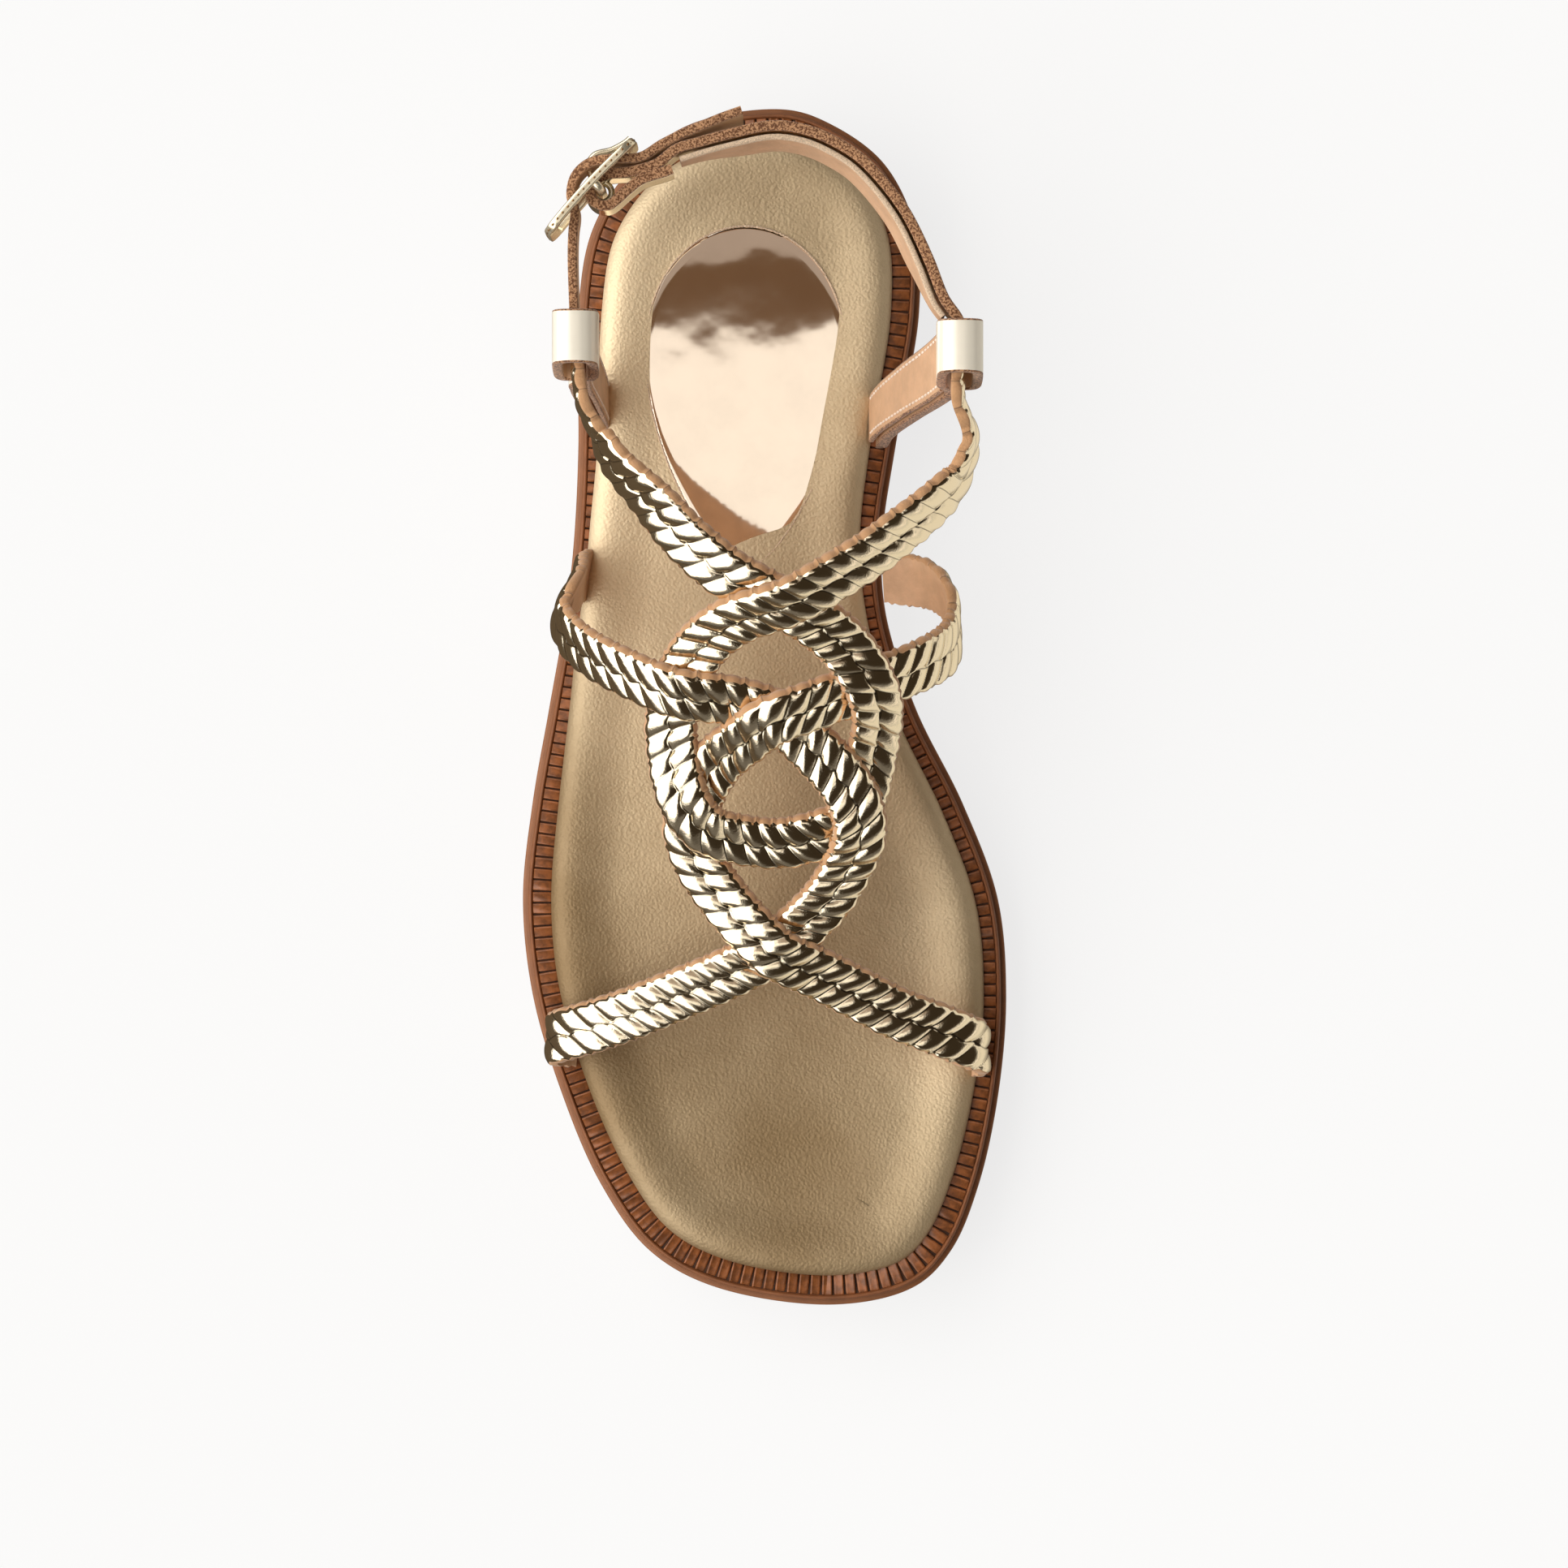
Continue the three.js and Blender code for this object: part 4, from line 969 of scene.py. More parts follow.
def path_mesh(name, paths):
    """A mesh of open or closed paths. Each is its points, their ways up, their reaches and closed."""
    points = []
    edges = []
    ups = []
    reaches = []
    for spots, uprights, widths, closed in paths:
        first = len(points)
        points += [tuple(p * MM) for p in spots]
        edges += [(first + i, first + i + 1) for i in range(len(spots) - 1)]
        if closed:
            edges.append((len(points) - 1, first))
        ups += [value for up in uprights for value in up]
        reaches += list(widths)
    mesh = bpy.data.meshes.new(name)
    mesh.from_pydata(points, edges, [])
    mesh.attributes.new("up", "FLOAT_VECTOR", "POINT").data.foreach_set("vector", ups)
    mesh.attributes.new("reach", "FLOAT", "POINT").data.foreach_set("value", reaches)
    return mesh


def row_of(name, paths, shape, pitch, size, material, looseness=0.0, seed=1):
    """A plain mesh of a shape repeated along paths. Pitch and size are in millimetres. The shape
    has no more use and is removed."""
    carrier = shown(name + "_path", path_mesh(name + "_path", paths))
    tree = bpy.data.node_groups.get("row_along_path") or row_tree()
    modifier = carrier.modifiers.new("Row", "NODES")
    modifier.node_group = tree
    inputs = {
        "Shape": shape, "Pitch": pitch * MM, "Size": [s * MM for s in size],
        "Looseness": looseness, "Seed": seed, "Material": material,
    }
    for item in tree.interface.items_tree:
        if item.name in inputs:
            modifier[item.identifier] = inputs[item.name]
    carrier.update_tag()
    graph = bpy.context.evaluated_depsgraph_get()
    mesh = bpy.data.meshes.new_from_object(carrier.evaluated_get(graph))
    mesh.name = name
    if not mesh.polygons:
        raise RuntimeError(name + " came out empty")
    carrier.modifiers.clear()
    bpy.data.objects.remove(carrier)
    bpy.data.objects.remove(shape)
    mesh.polygons.foreach_set("use_smooth", [True] * len(mesh.polygons))
    mesh.set_sharp_from_angle(angle=math.radians(50))
    return shown(name, mesh)


def bead_shape(rings=4, around=6):
    """A closed bead one unit across, for stitches, dots and fibres."""
    mesh = bpy.data.meshes.new("bead_shape")
    net = bmesh.new()
    turned = Matrix.Rotation(math.radians(90), 4, "Y")
    bmesh.ops.create_uvsphere(net, u_segments=around, v_segments=rings, radius=0.5, matrix=turned)
    net.to_mesh(mesh)
    net.free()
    return shown("bead_shape", mesh)


def block_shape():
    """A block of the ribbed welt one unit each way, with a low ridge along one side."""
    outline = [
        (-0.5, 0), (-0.5, 0.72), (-0.46, 1.05), (-0.37, 1.16), (-0.27, 1.05), (-0.18, 0.86),
        (0.3, 0.84), (0.44, 0.74), (0.5, 0.5), (0.5, 0),
    ]
    sections = [(-0.5, 0.55), (-0.47, 0.9), (0.47, 0.95), (0.5, 0.7)]
    rings = [[Vector((x, y, z * tall)) for x, z in outline] for y, tall in sections]
    points, faces, _ = loft(rings, [0] * len(outline))
    mesh = bpy.data.meshes.new("block_shape")
    mesh.from_pydata([tuple(p) for p in points], [], faces)
    clean(mesh, 60)
    return shown("block_shape", mesh)


# Sizes and colours that a user may change

def length(label, text, value):
    """A length that a user may change."""
    return FloatProperty(name=label, description=text, default=value * MM, min=0, unit="LENGTH")


def colour(label, text, *rgb):
    """A colour that a user may change."""
    return FloatVectorProperty(
        name=label, description=text, default=tone(*rgb), size=4, min=0, max=1, subtype="COLOR")


class SandalSizes(bpy.types.PropertyGroup):
    """Sizes of the fine forms."""

    lobe_pitch: length("Lobe pitch", "Distance from lobe to lobe of a rope", 3.9)
    rope_relief: length("Rope relief", "Height of the ropes above their strap", 1.3)
    lobe_slant: FloatProperty(
        name="Lobe slant", description="How far a lobe leans over its rope's width, in pitches",
        default=1.0, min=0, max=2)
    rib_pitch: length("Rib pitch", "Distance from rib to rib of the welt", 2.07)
    rib_gap: length("Rib gap", "Width of the grooves of the welt", 0.3)
    rib_depth: length("Rib depth", "Depth of the grooves of the welt", 0.55)
    stitch_pitch: length("Stitch pitch", "Distance from stitch to stitch", 1.35)
    stitch_length: length("Stitch length", "Length of one stitch", 1.05)
    stitch_width: length("Stitch width", "Width of one stitch", 0.5)
    stitch_inset: length("Stitch inset", "Distance of a row from the lining's edge", 1.15)
    dot_pitch: length("Dot pitch", "Distance from dot to dot of the buckle", 1.35)
    dot_size: length("Dot size", "Diameter of one dot of the buckle", 0.5)
    lobe_samples: IntProperty(
        name="Lobe samples", description="Sections of the mesh in one lobe", default=20, min=6)


class SandalColours(bpy.types.PropertyGroup):
    """Colours of the finishes."""

    foil: colour("Foil", "Gold foil of the straps", 250, 236, 208)
    mirror: colour("Mirror", "Rose-gold foil of the patch", 247, 232, 215)
    buckle: colour("Buckle", "Gold of the buckle", 250, 238, 210)
    sleeve: colour("Sleeve", "Ivory gold of the sleeves", 255, 248, 232)
    dot: colour("Dots", "Pressed dots of the buckle", 150, 112, 70)
    edge: colour("Cut edge", "Cut edge of the leather", 196, 150, 108)
    suede_dark: colour("Suede, dark", "Dark specks of the suede", 104, 64, 38)
    suede_light: colour("Suede, light", "Light specks of the suede", 196, 148, 108)
    fray: colour("Fray", "Frayed edge of the lining", 232, 204, 174)
    lining: colour("Lining", "Lining leather", 214, 172, 136)
    # The insole's light colour is shown where its painted light is strongest, and its dark colour where
    # painted shade and pressing are deepest
    insole: colour("Insole", "Rubbed leather of the insole", 243, 221, 184)
    insole_pressed_and_shaded: colour("Insole, dark", "Pressed leather of the insole", 139, 114, 78)
    welt: colour("Welt", "Ribbed strip", 156, 92, 48)
    bead: colour("Bead", "Bead along the welt", 140, 84, 46)
    outsole: colour("Outsole", "Sides and underside of the sole", 122, 74, 42)
    lip: colour("Lip", "Light edge of the sole", 146, 92, 54)
    thread: colour("Thread", "Stitches", 255, 236, 220)


def sizes():
    """The sizes as the user has set them."""
    return bpy.context.scene.sandal_sizes


def in_mm(value):
    """A length in metres, as millimetres."""
    return value / MM


# Operators, one for each piece or group of like pieces

class SandalOperator:
    bl_options = {"REGISTER", "UNDO"}

    def execute(self, context):
        if not FINISHES:
            make_finishes(context.scene.sandal_colours)
        self.make()
        return {"FINISHED"}


class SANDAL_OT_outsole(SandalOperator, bpy.types.Operator):
    """Makes the outsole with its lip and the grooves of its underside"""

    bl_idname = "sandal.outsole"
    bl_label = "Outsole"

    def make(self):
        def ground(p):
            return ground_at(p.y)

        def level(inset, height):
            return ring_at(lambda margin: inset, height)

        levels = []
        bottom = SOLE_TAPER + SOLE_EDGE_ROUND
        for k in range(5):
            a = math.pi / 2 * k / 4
            inset = bottom - SOLE_EDGE_ROUND * math.sin(a)
            rise = SOLE_EDGE_ROUND * (1 - math.cos(a))
            levels.append(level(inset, lambda p, rise=rise: ground(p) + rise))
        for share in (0.25, 0.5, 0.75, 1):
            inset = SOLE_TAPER + (LIP_OVERHANG - SOLE_TAPER) * share
            inset += SOLE_SWELL * math.sin(math.pi * share)

            def height(p, share=share):
                low = ground(p) + SOLE_EDGE_ROUND
                return low + (sole_top_at(p.y) - 2 * LIP_HEIGHT - low) * share

            levels.append(level(inset, height))
        lip_first = len(levels)
        for inset, drop in LIP_SECTION:
            levels.append(level(inset, lambda p, drop=drop: sole_top_at(p.y) - drop))
        top = [level(TOP_INSET, lambda p: sole_top_at(p.y))]
        top += rings_to_spine(top[0], lambda p: sole_top_at(p.y), TOP_RINGS)
        base = rings_to_spine(levels[0], ground, GROUND_RINGS)[::-1]
        rings = base + levels + top
        points, faces, slots = loft(rings, [0] * len(PLACES), caps=False)
        size = len(PLACES)
        for i in range(len(faces)):
            if i // size >= len(base) + lip_first:
                slots[i] = 1
        sole = piece("sole", points, faces, slots, [FINISHES["outsole"], FINISHES["lip"]], 50)
        self.cut(sole)
        dress(sole, "outsole", "outsole")

    def cut(self, sole):
        """Cuts the grooves across the underside."""
        net = bmesh.new()
        for start, end in GROOVED:
            count = math.floor((end - start) * SOLE_LENGTH / GROOVE_PITCH)
            first = y_at((start + end) / 2) - (count - 1) / 2 * GROOVE_PITCH
            for i in range(count):
                y = first + i * GROOVE_PITCH
                margin = WELT_MARGIN + SOLE_TAPER
                left = HALF_WIDTH * look_up(OUTLINE, "lateral", along_at(y)) + margin
                right = HALF_WIDTH * look_up(OUTLINE, "medial", along_at(y)) - margin
                size = Vector((right - left, GROOVE_WIDTH, 2 * GROOVE_DEPTH)) * MM
                scale = Matrix.Diagonal((*size, 1))
                move = Matrix.Translation(Vector(((left + right) / 2, y, 0)) * MM)
                bmesh.ops.create_cube(net, size=1, matrix=move @ scale)
        mesh = bpy.data.meshes.new("grooves")
        net.to_mesh(mesh)
        net.free()
        cutter = shown("grooves", mesh)
        boolean = sole.modifiers.new("Grooves", "BOOLEAN")
        boolean.operation = "DIFFERENCE"
        boolean.solver = "EXACT"
        boolean.object = cutter
        graph = bpy.context.evaluated_depsgraph_get()
        cut = bpy.data.meshes.new_from_object(sole.evaluated_get(graph))
        sole.modifiers.clear()
        sole.data = cut
        bpy.data.objects.remove(cutter)
        cut.set_sharp_from_angle(angle=math.radians(50))


class SANDAL_OT_welt(SandalOperator, bpy.types.Operator):
    """Makes the welt, its bead and its row of ribs"""

    bl_idname = "sandal.welt"
    bl_label = "Welt"

    def make(self):
        depth = in_mm(sizes().rib_depth)
        bed = WELT_THICKNESS - depth
        bead = LIP_WIDTH + RIB_START
        profile = [(None, CLEARANCE, 0), (None, bed, 0), (bead + BEAD_FOOT, bed, 1)]
        profile += [(bead + across, WELT_THICKNESS - drop, 1) for across, drop in BEAD_SECTION]
        profile += [(LIP_WIDTH + 0.03, WELT_THICKNESS - 1, 1), (LIP_WIDTH, CLEARANCE, 0)]
        rings = []
        for point, inward, margin in PLACES:
            ring = []
            for inset, height, _ in profile:
                p = point + inward * (margin + WELT_TUCK if inset is None else inset)
                p.z = sole_top_at(p.y) + height
                ring.append(p)
            rings.append(ring)
        slots = [row[2] for row in profile]
        skin = loft(rings, slots, joined=True)
        base = piece("welt_strip", *skin, [FINISHES["groove"], FINISHES["bead"]], 60)
        dress(base, "welt", "welt")
        self.ribs(bead)

    def ribs(self, bead):
        """The row of ribs, from the heel down either side."""
        size = sizes()
        outer = bead + BEAD_FOOT
        paths = []
        middle = len(PLACES) // 2
        sides = (PLACES[:middle + 1], [PLACES[0]] + PLACES[:middle - 1:-1])
        for side in sides:
            spots = []
            reaches = []
            for point, inward, margin in side:
                inner = margin + RIB_TUCK
                p = point + inward * (outer + inner) / 2
                p.z = welt_top_at(p.y) - in_mm(size.rib_depth)
                spots.append(p)
                reaches.append(inner - outer)
            paths.append((spots, [Vector((0, 0, 1))] * len(spots), reaches, False))
        pitch = in_mm(size.rib_pitch)
        block = (pitch - in_mm(size.rib_gap), 1, in_mm(size.rib_depth))
        ribs = row_of("welt_ribs", paths, block_shape(), pitch, block, FINISHES["welt"], 0.02)
        dress(ribs, "welt")


def insole_height(p):
    """Height of the insole's bed at a point, with its hollows."""
    bed = welt_top_at(p.y) + INSOLE_RISE - INSOLE_DISH
    return bed + soft_forms(INSOLE_FORMS, "height", p.x, p.y)


def patch_place(angle, grow=0.0):
    """A point of the patch's outline, and its middle's y."""
    middle = y_at(0) - PATCH_BACK - PATCH_LENGTH * PATCH_ROUND
    to_toe = math.cos(angle) < 0
    reach = PATCH_LENGTH * ((1 - PATCH_ROUND) if to_toe else PATCH_ROUND)
    pinch = 1 - PATCH_PINCH * math.cos(angle) ** 2 if to_toe else 1
    x = -(PATCH_WIDTH / 2 + grow) * math.sin(angle) * pinch - PATCH_OFFSET
    return Vector((x, middle + (reach + grow) * math.cos(angle), 0))


class SANDAL_OT_insole(SandalOperator, bpy.types.Operator):
    """Makes the padded insole with its puffed rim and soft hollows"""

    bl_idname = "sandal.insole"
    bl_label = "Insole"

    def make(self):
        tuck = WELT_TUCK + CLEARANCE

        def rim(distance):
            share = max(1 - distance / RIM_CREST, 0)
            return INSOLE_RISE * math.sqrt(1 - share ** 2)

        levels = [
            ring_at(lambda m: m + tuck, lambda p: sole_top_at(p.y) + CLEARANCE),
            ring_at(lambda m: m + tuck, lambda p: welt_top_at(p.y) + CLEARANCE),
            ring_at(lambda m: m + CLEARANCE, lambda p: welt_top_at(p.y) + CLEARANCE / 2),
        ]
        for distance in RIM_STEPS:
            share = smooth(distance, RIM_CREST, RIM_END)

            def height(p, distance=distance, share=share):
                edge = welt_top_at(p.y) + max(rim(distance), RIM_LEAST)
                return edge + (insole_height(p) - edge) * share

            levels.append(ring_at(lambda m, d=distance: m + d * (1 + RIM_PUFF) - RIM_PUFF, height))
        base = rings_to_spine(levels[0], lambda p: sole_top_at(p.y) + CLEARANCE, 2)[::-1]
        top = rings_to_spine(levels[-1], insole_height, BED_RINGS)
        skin = loft(base + levels + top, [0] * len(PLACES), caps=False)
        insole = piece("insole_bed", *skin, [FINISHES["insole"]], 60)
        # Painted light and shade, with some wear, kept on the insole's points
        shades = []
        for vertex in insole.data.vertices:
            shade = 0.5 + soft_forms(INSOLE_WEAR_AND_PAINTED_LIGHT, "shade", vertex.co.x / MM, vertex.co.y / MM)
            shades.append(min(max(shade, 0), 1))
        insole.data.attributes.new("shade", "FLOAT", "POINT").data.foreach_set("value", shades)
        dress(insole, "insole", "insole")


class SANDAL_OT_patch(SandalOperator, bpy.types.Operator):
    """Makes the mirror patch and its ragged pale edge"""

    bl_idname = "sandal.patch"
    bl_label = "Heel patch"

    def make(self):
        steps = 220
        outline = [patch_place(2 * math.pi * i / steps) for i in range(steps)]
        centre = Vector((-PATCH_OFFSET, sum(p.y for p in outline) / steps, 0))
        rings = []
        for share, lift in PATCH_SECTION:
            ring = []
            for p in outline:
                q = centre + (p - centre) * share
                q.z = welt_top_at(q.y) + INSOLE_RISE - INSOLE_DISH + lift
                ring.append(q)
            rings.append(ring)
        patch = piece("mirror_patch", *loft(rings, [0] * steps), [FINISHES["mirror"]], 30)
        dress(patch, "patch", "heel_patch")
        spots = []
        for p in outline:
            q = Vector(p)
            q.z = welt_top_at(q.y) + INSOLE_RISE - INSOLE_DISH + FIBRE_LIFT
            spots.append(q)
        paths = [(spots, [Vector((0, 0, 1))] * steps, [1] * steps, True)]
        fray = FINISHES["fray"]
        edge = row_of("patch_edge", paths, bead_shape(), FIBRE_PITCH, FIBRE, fray, 0.3, 4)
        dress(edge, "patch")


class SANDAL_OT_rope_straps(SandalOperator, bpy.types.Operator):
    """Makes the four rope straps, which cross over the foot"""

    bl_idname = "sandal.rope_straps"
    bl_label = "Rope straps"

    def make(self):
        finishes = [FINISHES["foil"], FINISHES["edge"], FINISHES["lining"]]
        for name, route in ROUTES.items():
            strap = self.rope("rope_" + name, route, ROPE_HAND[name], finishes)
            dress(strap, "upper", "upper")

    def spine(self, route, samples, pitch):
        """Evenly spaced places of a route over the last, each a point and its way up."""
        relief = in_mm(sizes().rope_relief)
        over = STRAP_WALL + 0.5 * relief
        flat = [
            Vector((row["along"] * SOLE_LENGTH, row["around"] * DEGREE_LENGTH, row["lift"] * over))
            for row in route
        ]

        def lifted(q):
            along = q.x / SOLE_LENGTH
            around = q.y / DEGREE_LENGTH
            up = last_normal(along, around)
            return last_point(along, around) + up * q.z, up

        rough = [lifted(q) for q in Curve(flat).spaced(500)]
        lengths = lengths_along([point for point, _ in rough])
        steps = round(lengths[-1] / pitch) * samples
        places = []
        for i, (k, share) in enumerate(even_steps(lengths, steps)):
            point = rough[k][0].lerp(rough[k + 1][0], share)
            height = point.z - welt_top_at(point.y)
            low = 1 - smooth(height, *SPREAD_HEIGHTS)
            point.x += math.copysign(FOOT_SPREAD * low, point.x)
            up = rough[k][1].lerp(rough[k + 1][1], share)
            if i < steps / 3:
                level = Vector((math.copysign(1, point.x), FOOT_LEAN, 0))
                up = up.lerp(level, FOOT_TURN * (1 - smooth(height, *TURN_HEIGHTS)))
            places.append((point, up))
        return places

    def crest(self, along, w, hand, relief):
        """Place across, height and shade of the ropes at a share w of the strap's half width. A lobe
        runs from the valley to the edge as a strand does, flattest against the strap at its ends."""
        size = sizes()
        half = STRAP_WIDTH / 2 - ROPE_INSET
        row = 0.5 if w > 0 else 0
        t = w if w > 0 else w + 1
        turn = math.asin(0.94 * (2 * t - 1)) / math.pi
        phase = along + hand * size.lobe_slant * turn + row
        lobe = 1 - (2 * (phase - math.floor(phase)) - 1) ** 2
        crown = 1 - abs(2 * t - 1) ** 2.2
        edge = max(1 - (1 - abs(w)) * half / EDGE_REACH, 0)
        height = STRAP_WALL - ROPE_INSET + relief * (CROWN_SHARE * crown + LOBE_SHARE * lobe)
        height -= EDGE_DROP * edge ** 2
        bulge = LOBE_BULGE * (lobe - 0.6) * abs(w) ** 6
        valley = hand * VALLEY_SWAY * math.sin(2 * math.pi * along) * (1 - abs(w)) ** 3
        # Painted shade: dark in the grooves between lobes and along the valley between the two rows,
        # where the foil is shaded
        shade = smooth(lobe, 0, 0.2) * (0.25 + 0.75 * smooth(abs(w), 0.01, 0.08))
        return half * w + math.copysign(bulge, w) + valley, height, shade

    def cut_edge(self, height, flare):
        """The cut edge from the ropes down, as places beyond the ropes and heights."""
        return [(0.12, height - 0.1), (0.18 + 0.8 * flare, height - 0.45), (0.2 + flare, 0.3), (0.1, 0)]

    def rope(self, name, route, hand, finishes):
        """One rope strap along its route, with lobes, cut edges and a lined back."""
        size = sizes()
        samples = size.lobe_samples
        relief = in_mm(size.rope_relief)
        half = STRAP_WIDTH / 2
        places = self.spine(route, samples, in_mm(size.lobe_pitch))
        across = ROPE_ACROSS
        rings = []
        shades = []
        last = len(places) - 1
        for i, (point, up) in enumerate(places):
            if point.z < welt_top_at(point.y) - FOOT_END:
                continue
            ahead = (places[min(i + 2, last)][0] - places[max(i - 2, 0)][0]).normalized()
            side = ahead.cross(up).normalized()
            up = side.cross(ahead).normalized()
            along = i / samples
            top = [self.crest(along, -1 + 2 * k / across, hand, relief) for k in range(across + 1)]
            left, left_height, left_shade = top[0]
            right, right_height, right_shade = top[-1]
            flares = [EDGE_FLARE * smooth(way * side.y, -0.3, 0.2) for way in (1, -1)]
            # The painted shade of each point of the ring: the ropes', the same beside them on the cut
            # edges, and none under the strap
            shades += [spot[2] for spot in top] + [right_shade] * 4 + [1] * 3 + [left_shade] * 4
            profile = [spot[:2] for spot in top]
            profile += [(right + x, z) for x, z in self.cut_edge(right_height, flares[0])]
            profile += [(half * 0.5, 0.05), (0, 0.08), (-half * 0.5, 0.05)]
            profile += [(left - x, z) for x, z in self.cut_edge(left_height, flares[1])[::-1]]
            ring = [point + side * x + up * z for x, z in profile]
            for p in ring:
                p.z = max(p.z, welt_top_at(p.y) - FOOT_DEPTH)
            rings.append(ring)
        slots = [0] * across + [1] * 4 + [2] * 4 + [1] * (len(rings[0]) - across - 8)
        return piece(name, *loft(rings, slots, cap_slot=1), finishes, 70, shades)


class SANDAL_OT_side_straps(SandalOperator, bpy.types.Operator):
    """Makes the side straps with their sleeves, their linings and their stitches"""

    bl_idname = "sandal.side_straps"
    bl_label = "Side straps"

    def make(self):
        for side in ("lateral", "medial"):
            self.strap(side)
            self.lining(side)

    def room(self):
        """Width and height of the room that a sleeve leaves for two straps."""
        relief = in_mm(sizes().rope_relief)
        width = STRAP_WALL + relief + 3 * CLEARANCE
        return width, max(STRAP_WIDTH, ANKLE_WIDTH) + 4 * CLEARANCE

    def standing(self, side, height):
        """Width and middle of a side strap at a height."""
        place = SLEEVES[side]
        base = welt_top_at(y_at(place["foot"]))
        share = (height - base) / (ANKLE_HEIGHT - self.room()[1] / 2 - base)
        width = QUARTER_FOOT + (SLEEVE_LENGTH - QUARTER_FOOT) * share
        return width, y_at(place["foot"] + (place["head"] - place["foot"]) * share)

    def swept(self, name, points, wall, stand_at, finishes):
        """A band along points of across and height, with its width and middle from stand_at."""
        rings = []
        for i, p in enumerate(points):
            ahead = heading(points, i)
            normal = Vector((ahead.y, -ahead.x))
            width, middle = stand_at(p)
            profile = band_profile(width, wall(p) if callable(wall) else wall)
            spots = [(p + normal * through, across) for across, through, _ in profile]
            rings.append([Vector((q.x, middle + across, q.y)) for q, across in spots])
        return piece(name, *loft(rings, band_slots(profile), cap_slot=EDGE), finishes)

    def strap(self, side):
        """A strap from the welt up, turned over into its sleeve."""
        outer = -1 if side == "lateral" else 1
        room_width, room_height = self.room()
        head = SLEEVES[side]
        centre = head["across"] * HALF_WIDTH
        low = QUARTERS[side][0]["height"] * INSTEP_HEIGHT
        high = ANKLE_HEIGHT - room_height / 2 - 2.6 * SLEEVE_WALL
        spots = []
        foot = welt_top_at(y_at(head["foot"])) + CLEARANCE
        low = min(low, foot)
        for i in range(13):
            height = low + (high - low) * i / 12
            x = look_up(QUARTERS[side], "across", height / INSTEP_HEIGHT, "height") * HALF_WIDTH
            spots.append(Vector((x, height, 0)))
        wide = (room_width + SLEEVE_WALL) / 2
        tall = (room_height + SLEEVE_WALL) / 2
        bend = SLEEVE_CORNER + SLEEVE_WALL / 2
        flank = [
            (wide, -tall + bend), (wide + 0.1, -tall / 2), (wide + 0.15, 0), (wide + 0.1, tall / 2),
            (wide, tall - bend), (wide - bend * 0.3, tall - bend * 0.3), (wide - bend, tall),
        ]
        ring = [(-wide * 0.75, -tall - 0.3)] + [(-x, z) for x, z in flank] + [(0, tall + 0.12)]
        ring += flank[::-1] + [
            (wide - bend * 0.35, -tall + bend * 0.2), (wide - bend * 1.3, -tall - 0.1),
        ]
        spots += [Vector((centre + outer * x, ANKLE_HEIGHT + z, 0)) for x, z in ring]
        points = [Vector((p.x, p.y)) for p in Curve(spots).spaced(260)]
        floor = ANKLE_HEIGHT - tall

        def wall(p):
            return QUARTER_WALL + (SLEEVE_WALL - QUARTER_WALL) * smooth(p.y, floor - 6, floor)

        def stand_at(p):
            width, middle = self.standing(side, min(p.y, floor))
            share = smooth(p.y, floor - 5, floor)
            sleeve = y_at(head["head"])
            cut = SLEEVE_CUT * max(p.y - floor, 0)
            width += (SLEEVE_LENGTH - width) * share
            middle += (sleeve - middle) * share
            return width - cut, middle + cut / 2

        finishes = self.turned([FINISHES["sleeve"], FINISHES["suede"], FINISHES["lining"]], outer)
        strap = self.swept("side_strap_" + side, points, wall, stand_at, finishes)
        for face in strap.data.polygons:
            if face.center.z < (floor - 1) * MM and face.material_index != EDGE:
                face.material_index = OUTSIDE + INSIDE - face.material_index
        dress(strap, "strap", "quarter_strap_" + side)

    def turned(self, finishes, outer):
        """The outside face is on the other side of the band where the foot is on the left."""
        return finishes if outer > 0 else [finishes[2], finishes[1], finishes[0]]

    def lining(self, side):
        """The lining inside a side strap, with two rows of stitches."""
        size = sizes()
        towards = -1 if side == "medial" else 1
        inward = QUARTER_WALL / 2 + 2 * CLEARANCE + LINING_WALL / 2
        foot = y_at(SLEEVES[side]["foot"])
        low = welt_top_at(foot) + INSOLE_RISE - 2 * CLEARANCE
        high = ANKLE_HEIGHT - self.room()[1] / 2 - SLEEVE_WALL - CLEARANCE
        points = []
        for i in range(61):
            height = low + (high - low) * i / 60
            x = look_up(QUARTERS[side], "across", height / INSTEP_HEIGHT, "height") * HALF_WIDTH
            points.append(Vector((x + towards * inward, height)))

        def stand_at(p):
            width, middle = self.standing(side, p.y)
            return width - 2 * CLEARANCE, middle

        outer = -towards
        finishes = self.turned([FINISHES["lining"], FINISHES["suede"], FINISHES["lining"]], outer)
        lining = self.swept("side_lining_" + side, points, LINING_WALL, stand_at, finishes)
        dress(lining, "lining", "quarter_lining_" + side)
        paths = []
        face = towards * (LINING_WALL / 2 + 0.06)
        for edge in (-1, 1):
            spots = []
            ups = []
            for i in range(4, 58):
                p = points[i]
                ahead = heading(points, i)
                normal = Vector((ahead.y, -ahead.x))
                if normal.x * towards < 0:
                    normal = -normal
                width, middle = stand_at(p)
                q = p + normal * abs(face)
                spots.append(Vector((q.x, middle + edge * (width / 2 - in_mm(size.stitch_inset)), q.y)))
                ups.append(Vector((normal.x, 0, normal.y)))
            paths.append((spots, ups, [1] * len(spots), False))
        stitch = [in_mm(size.stitch_length), in_mm(size.stitch_width), in_mm(size.stitch_width) * 0.8]
        stitches = row_of(
            "side_stitches_" + side, paths, bead_shape(6, 8), in_mm(size.stitch_pitch), stitch,
            FINISHES["thread"], 0.08, 7)
        dress(stitches, "lining")


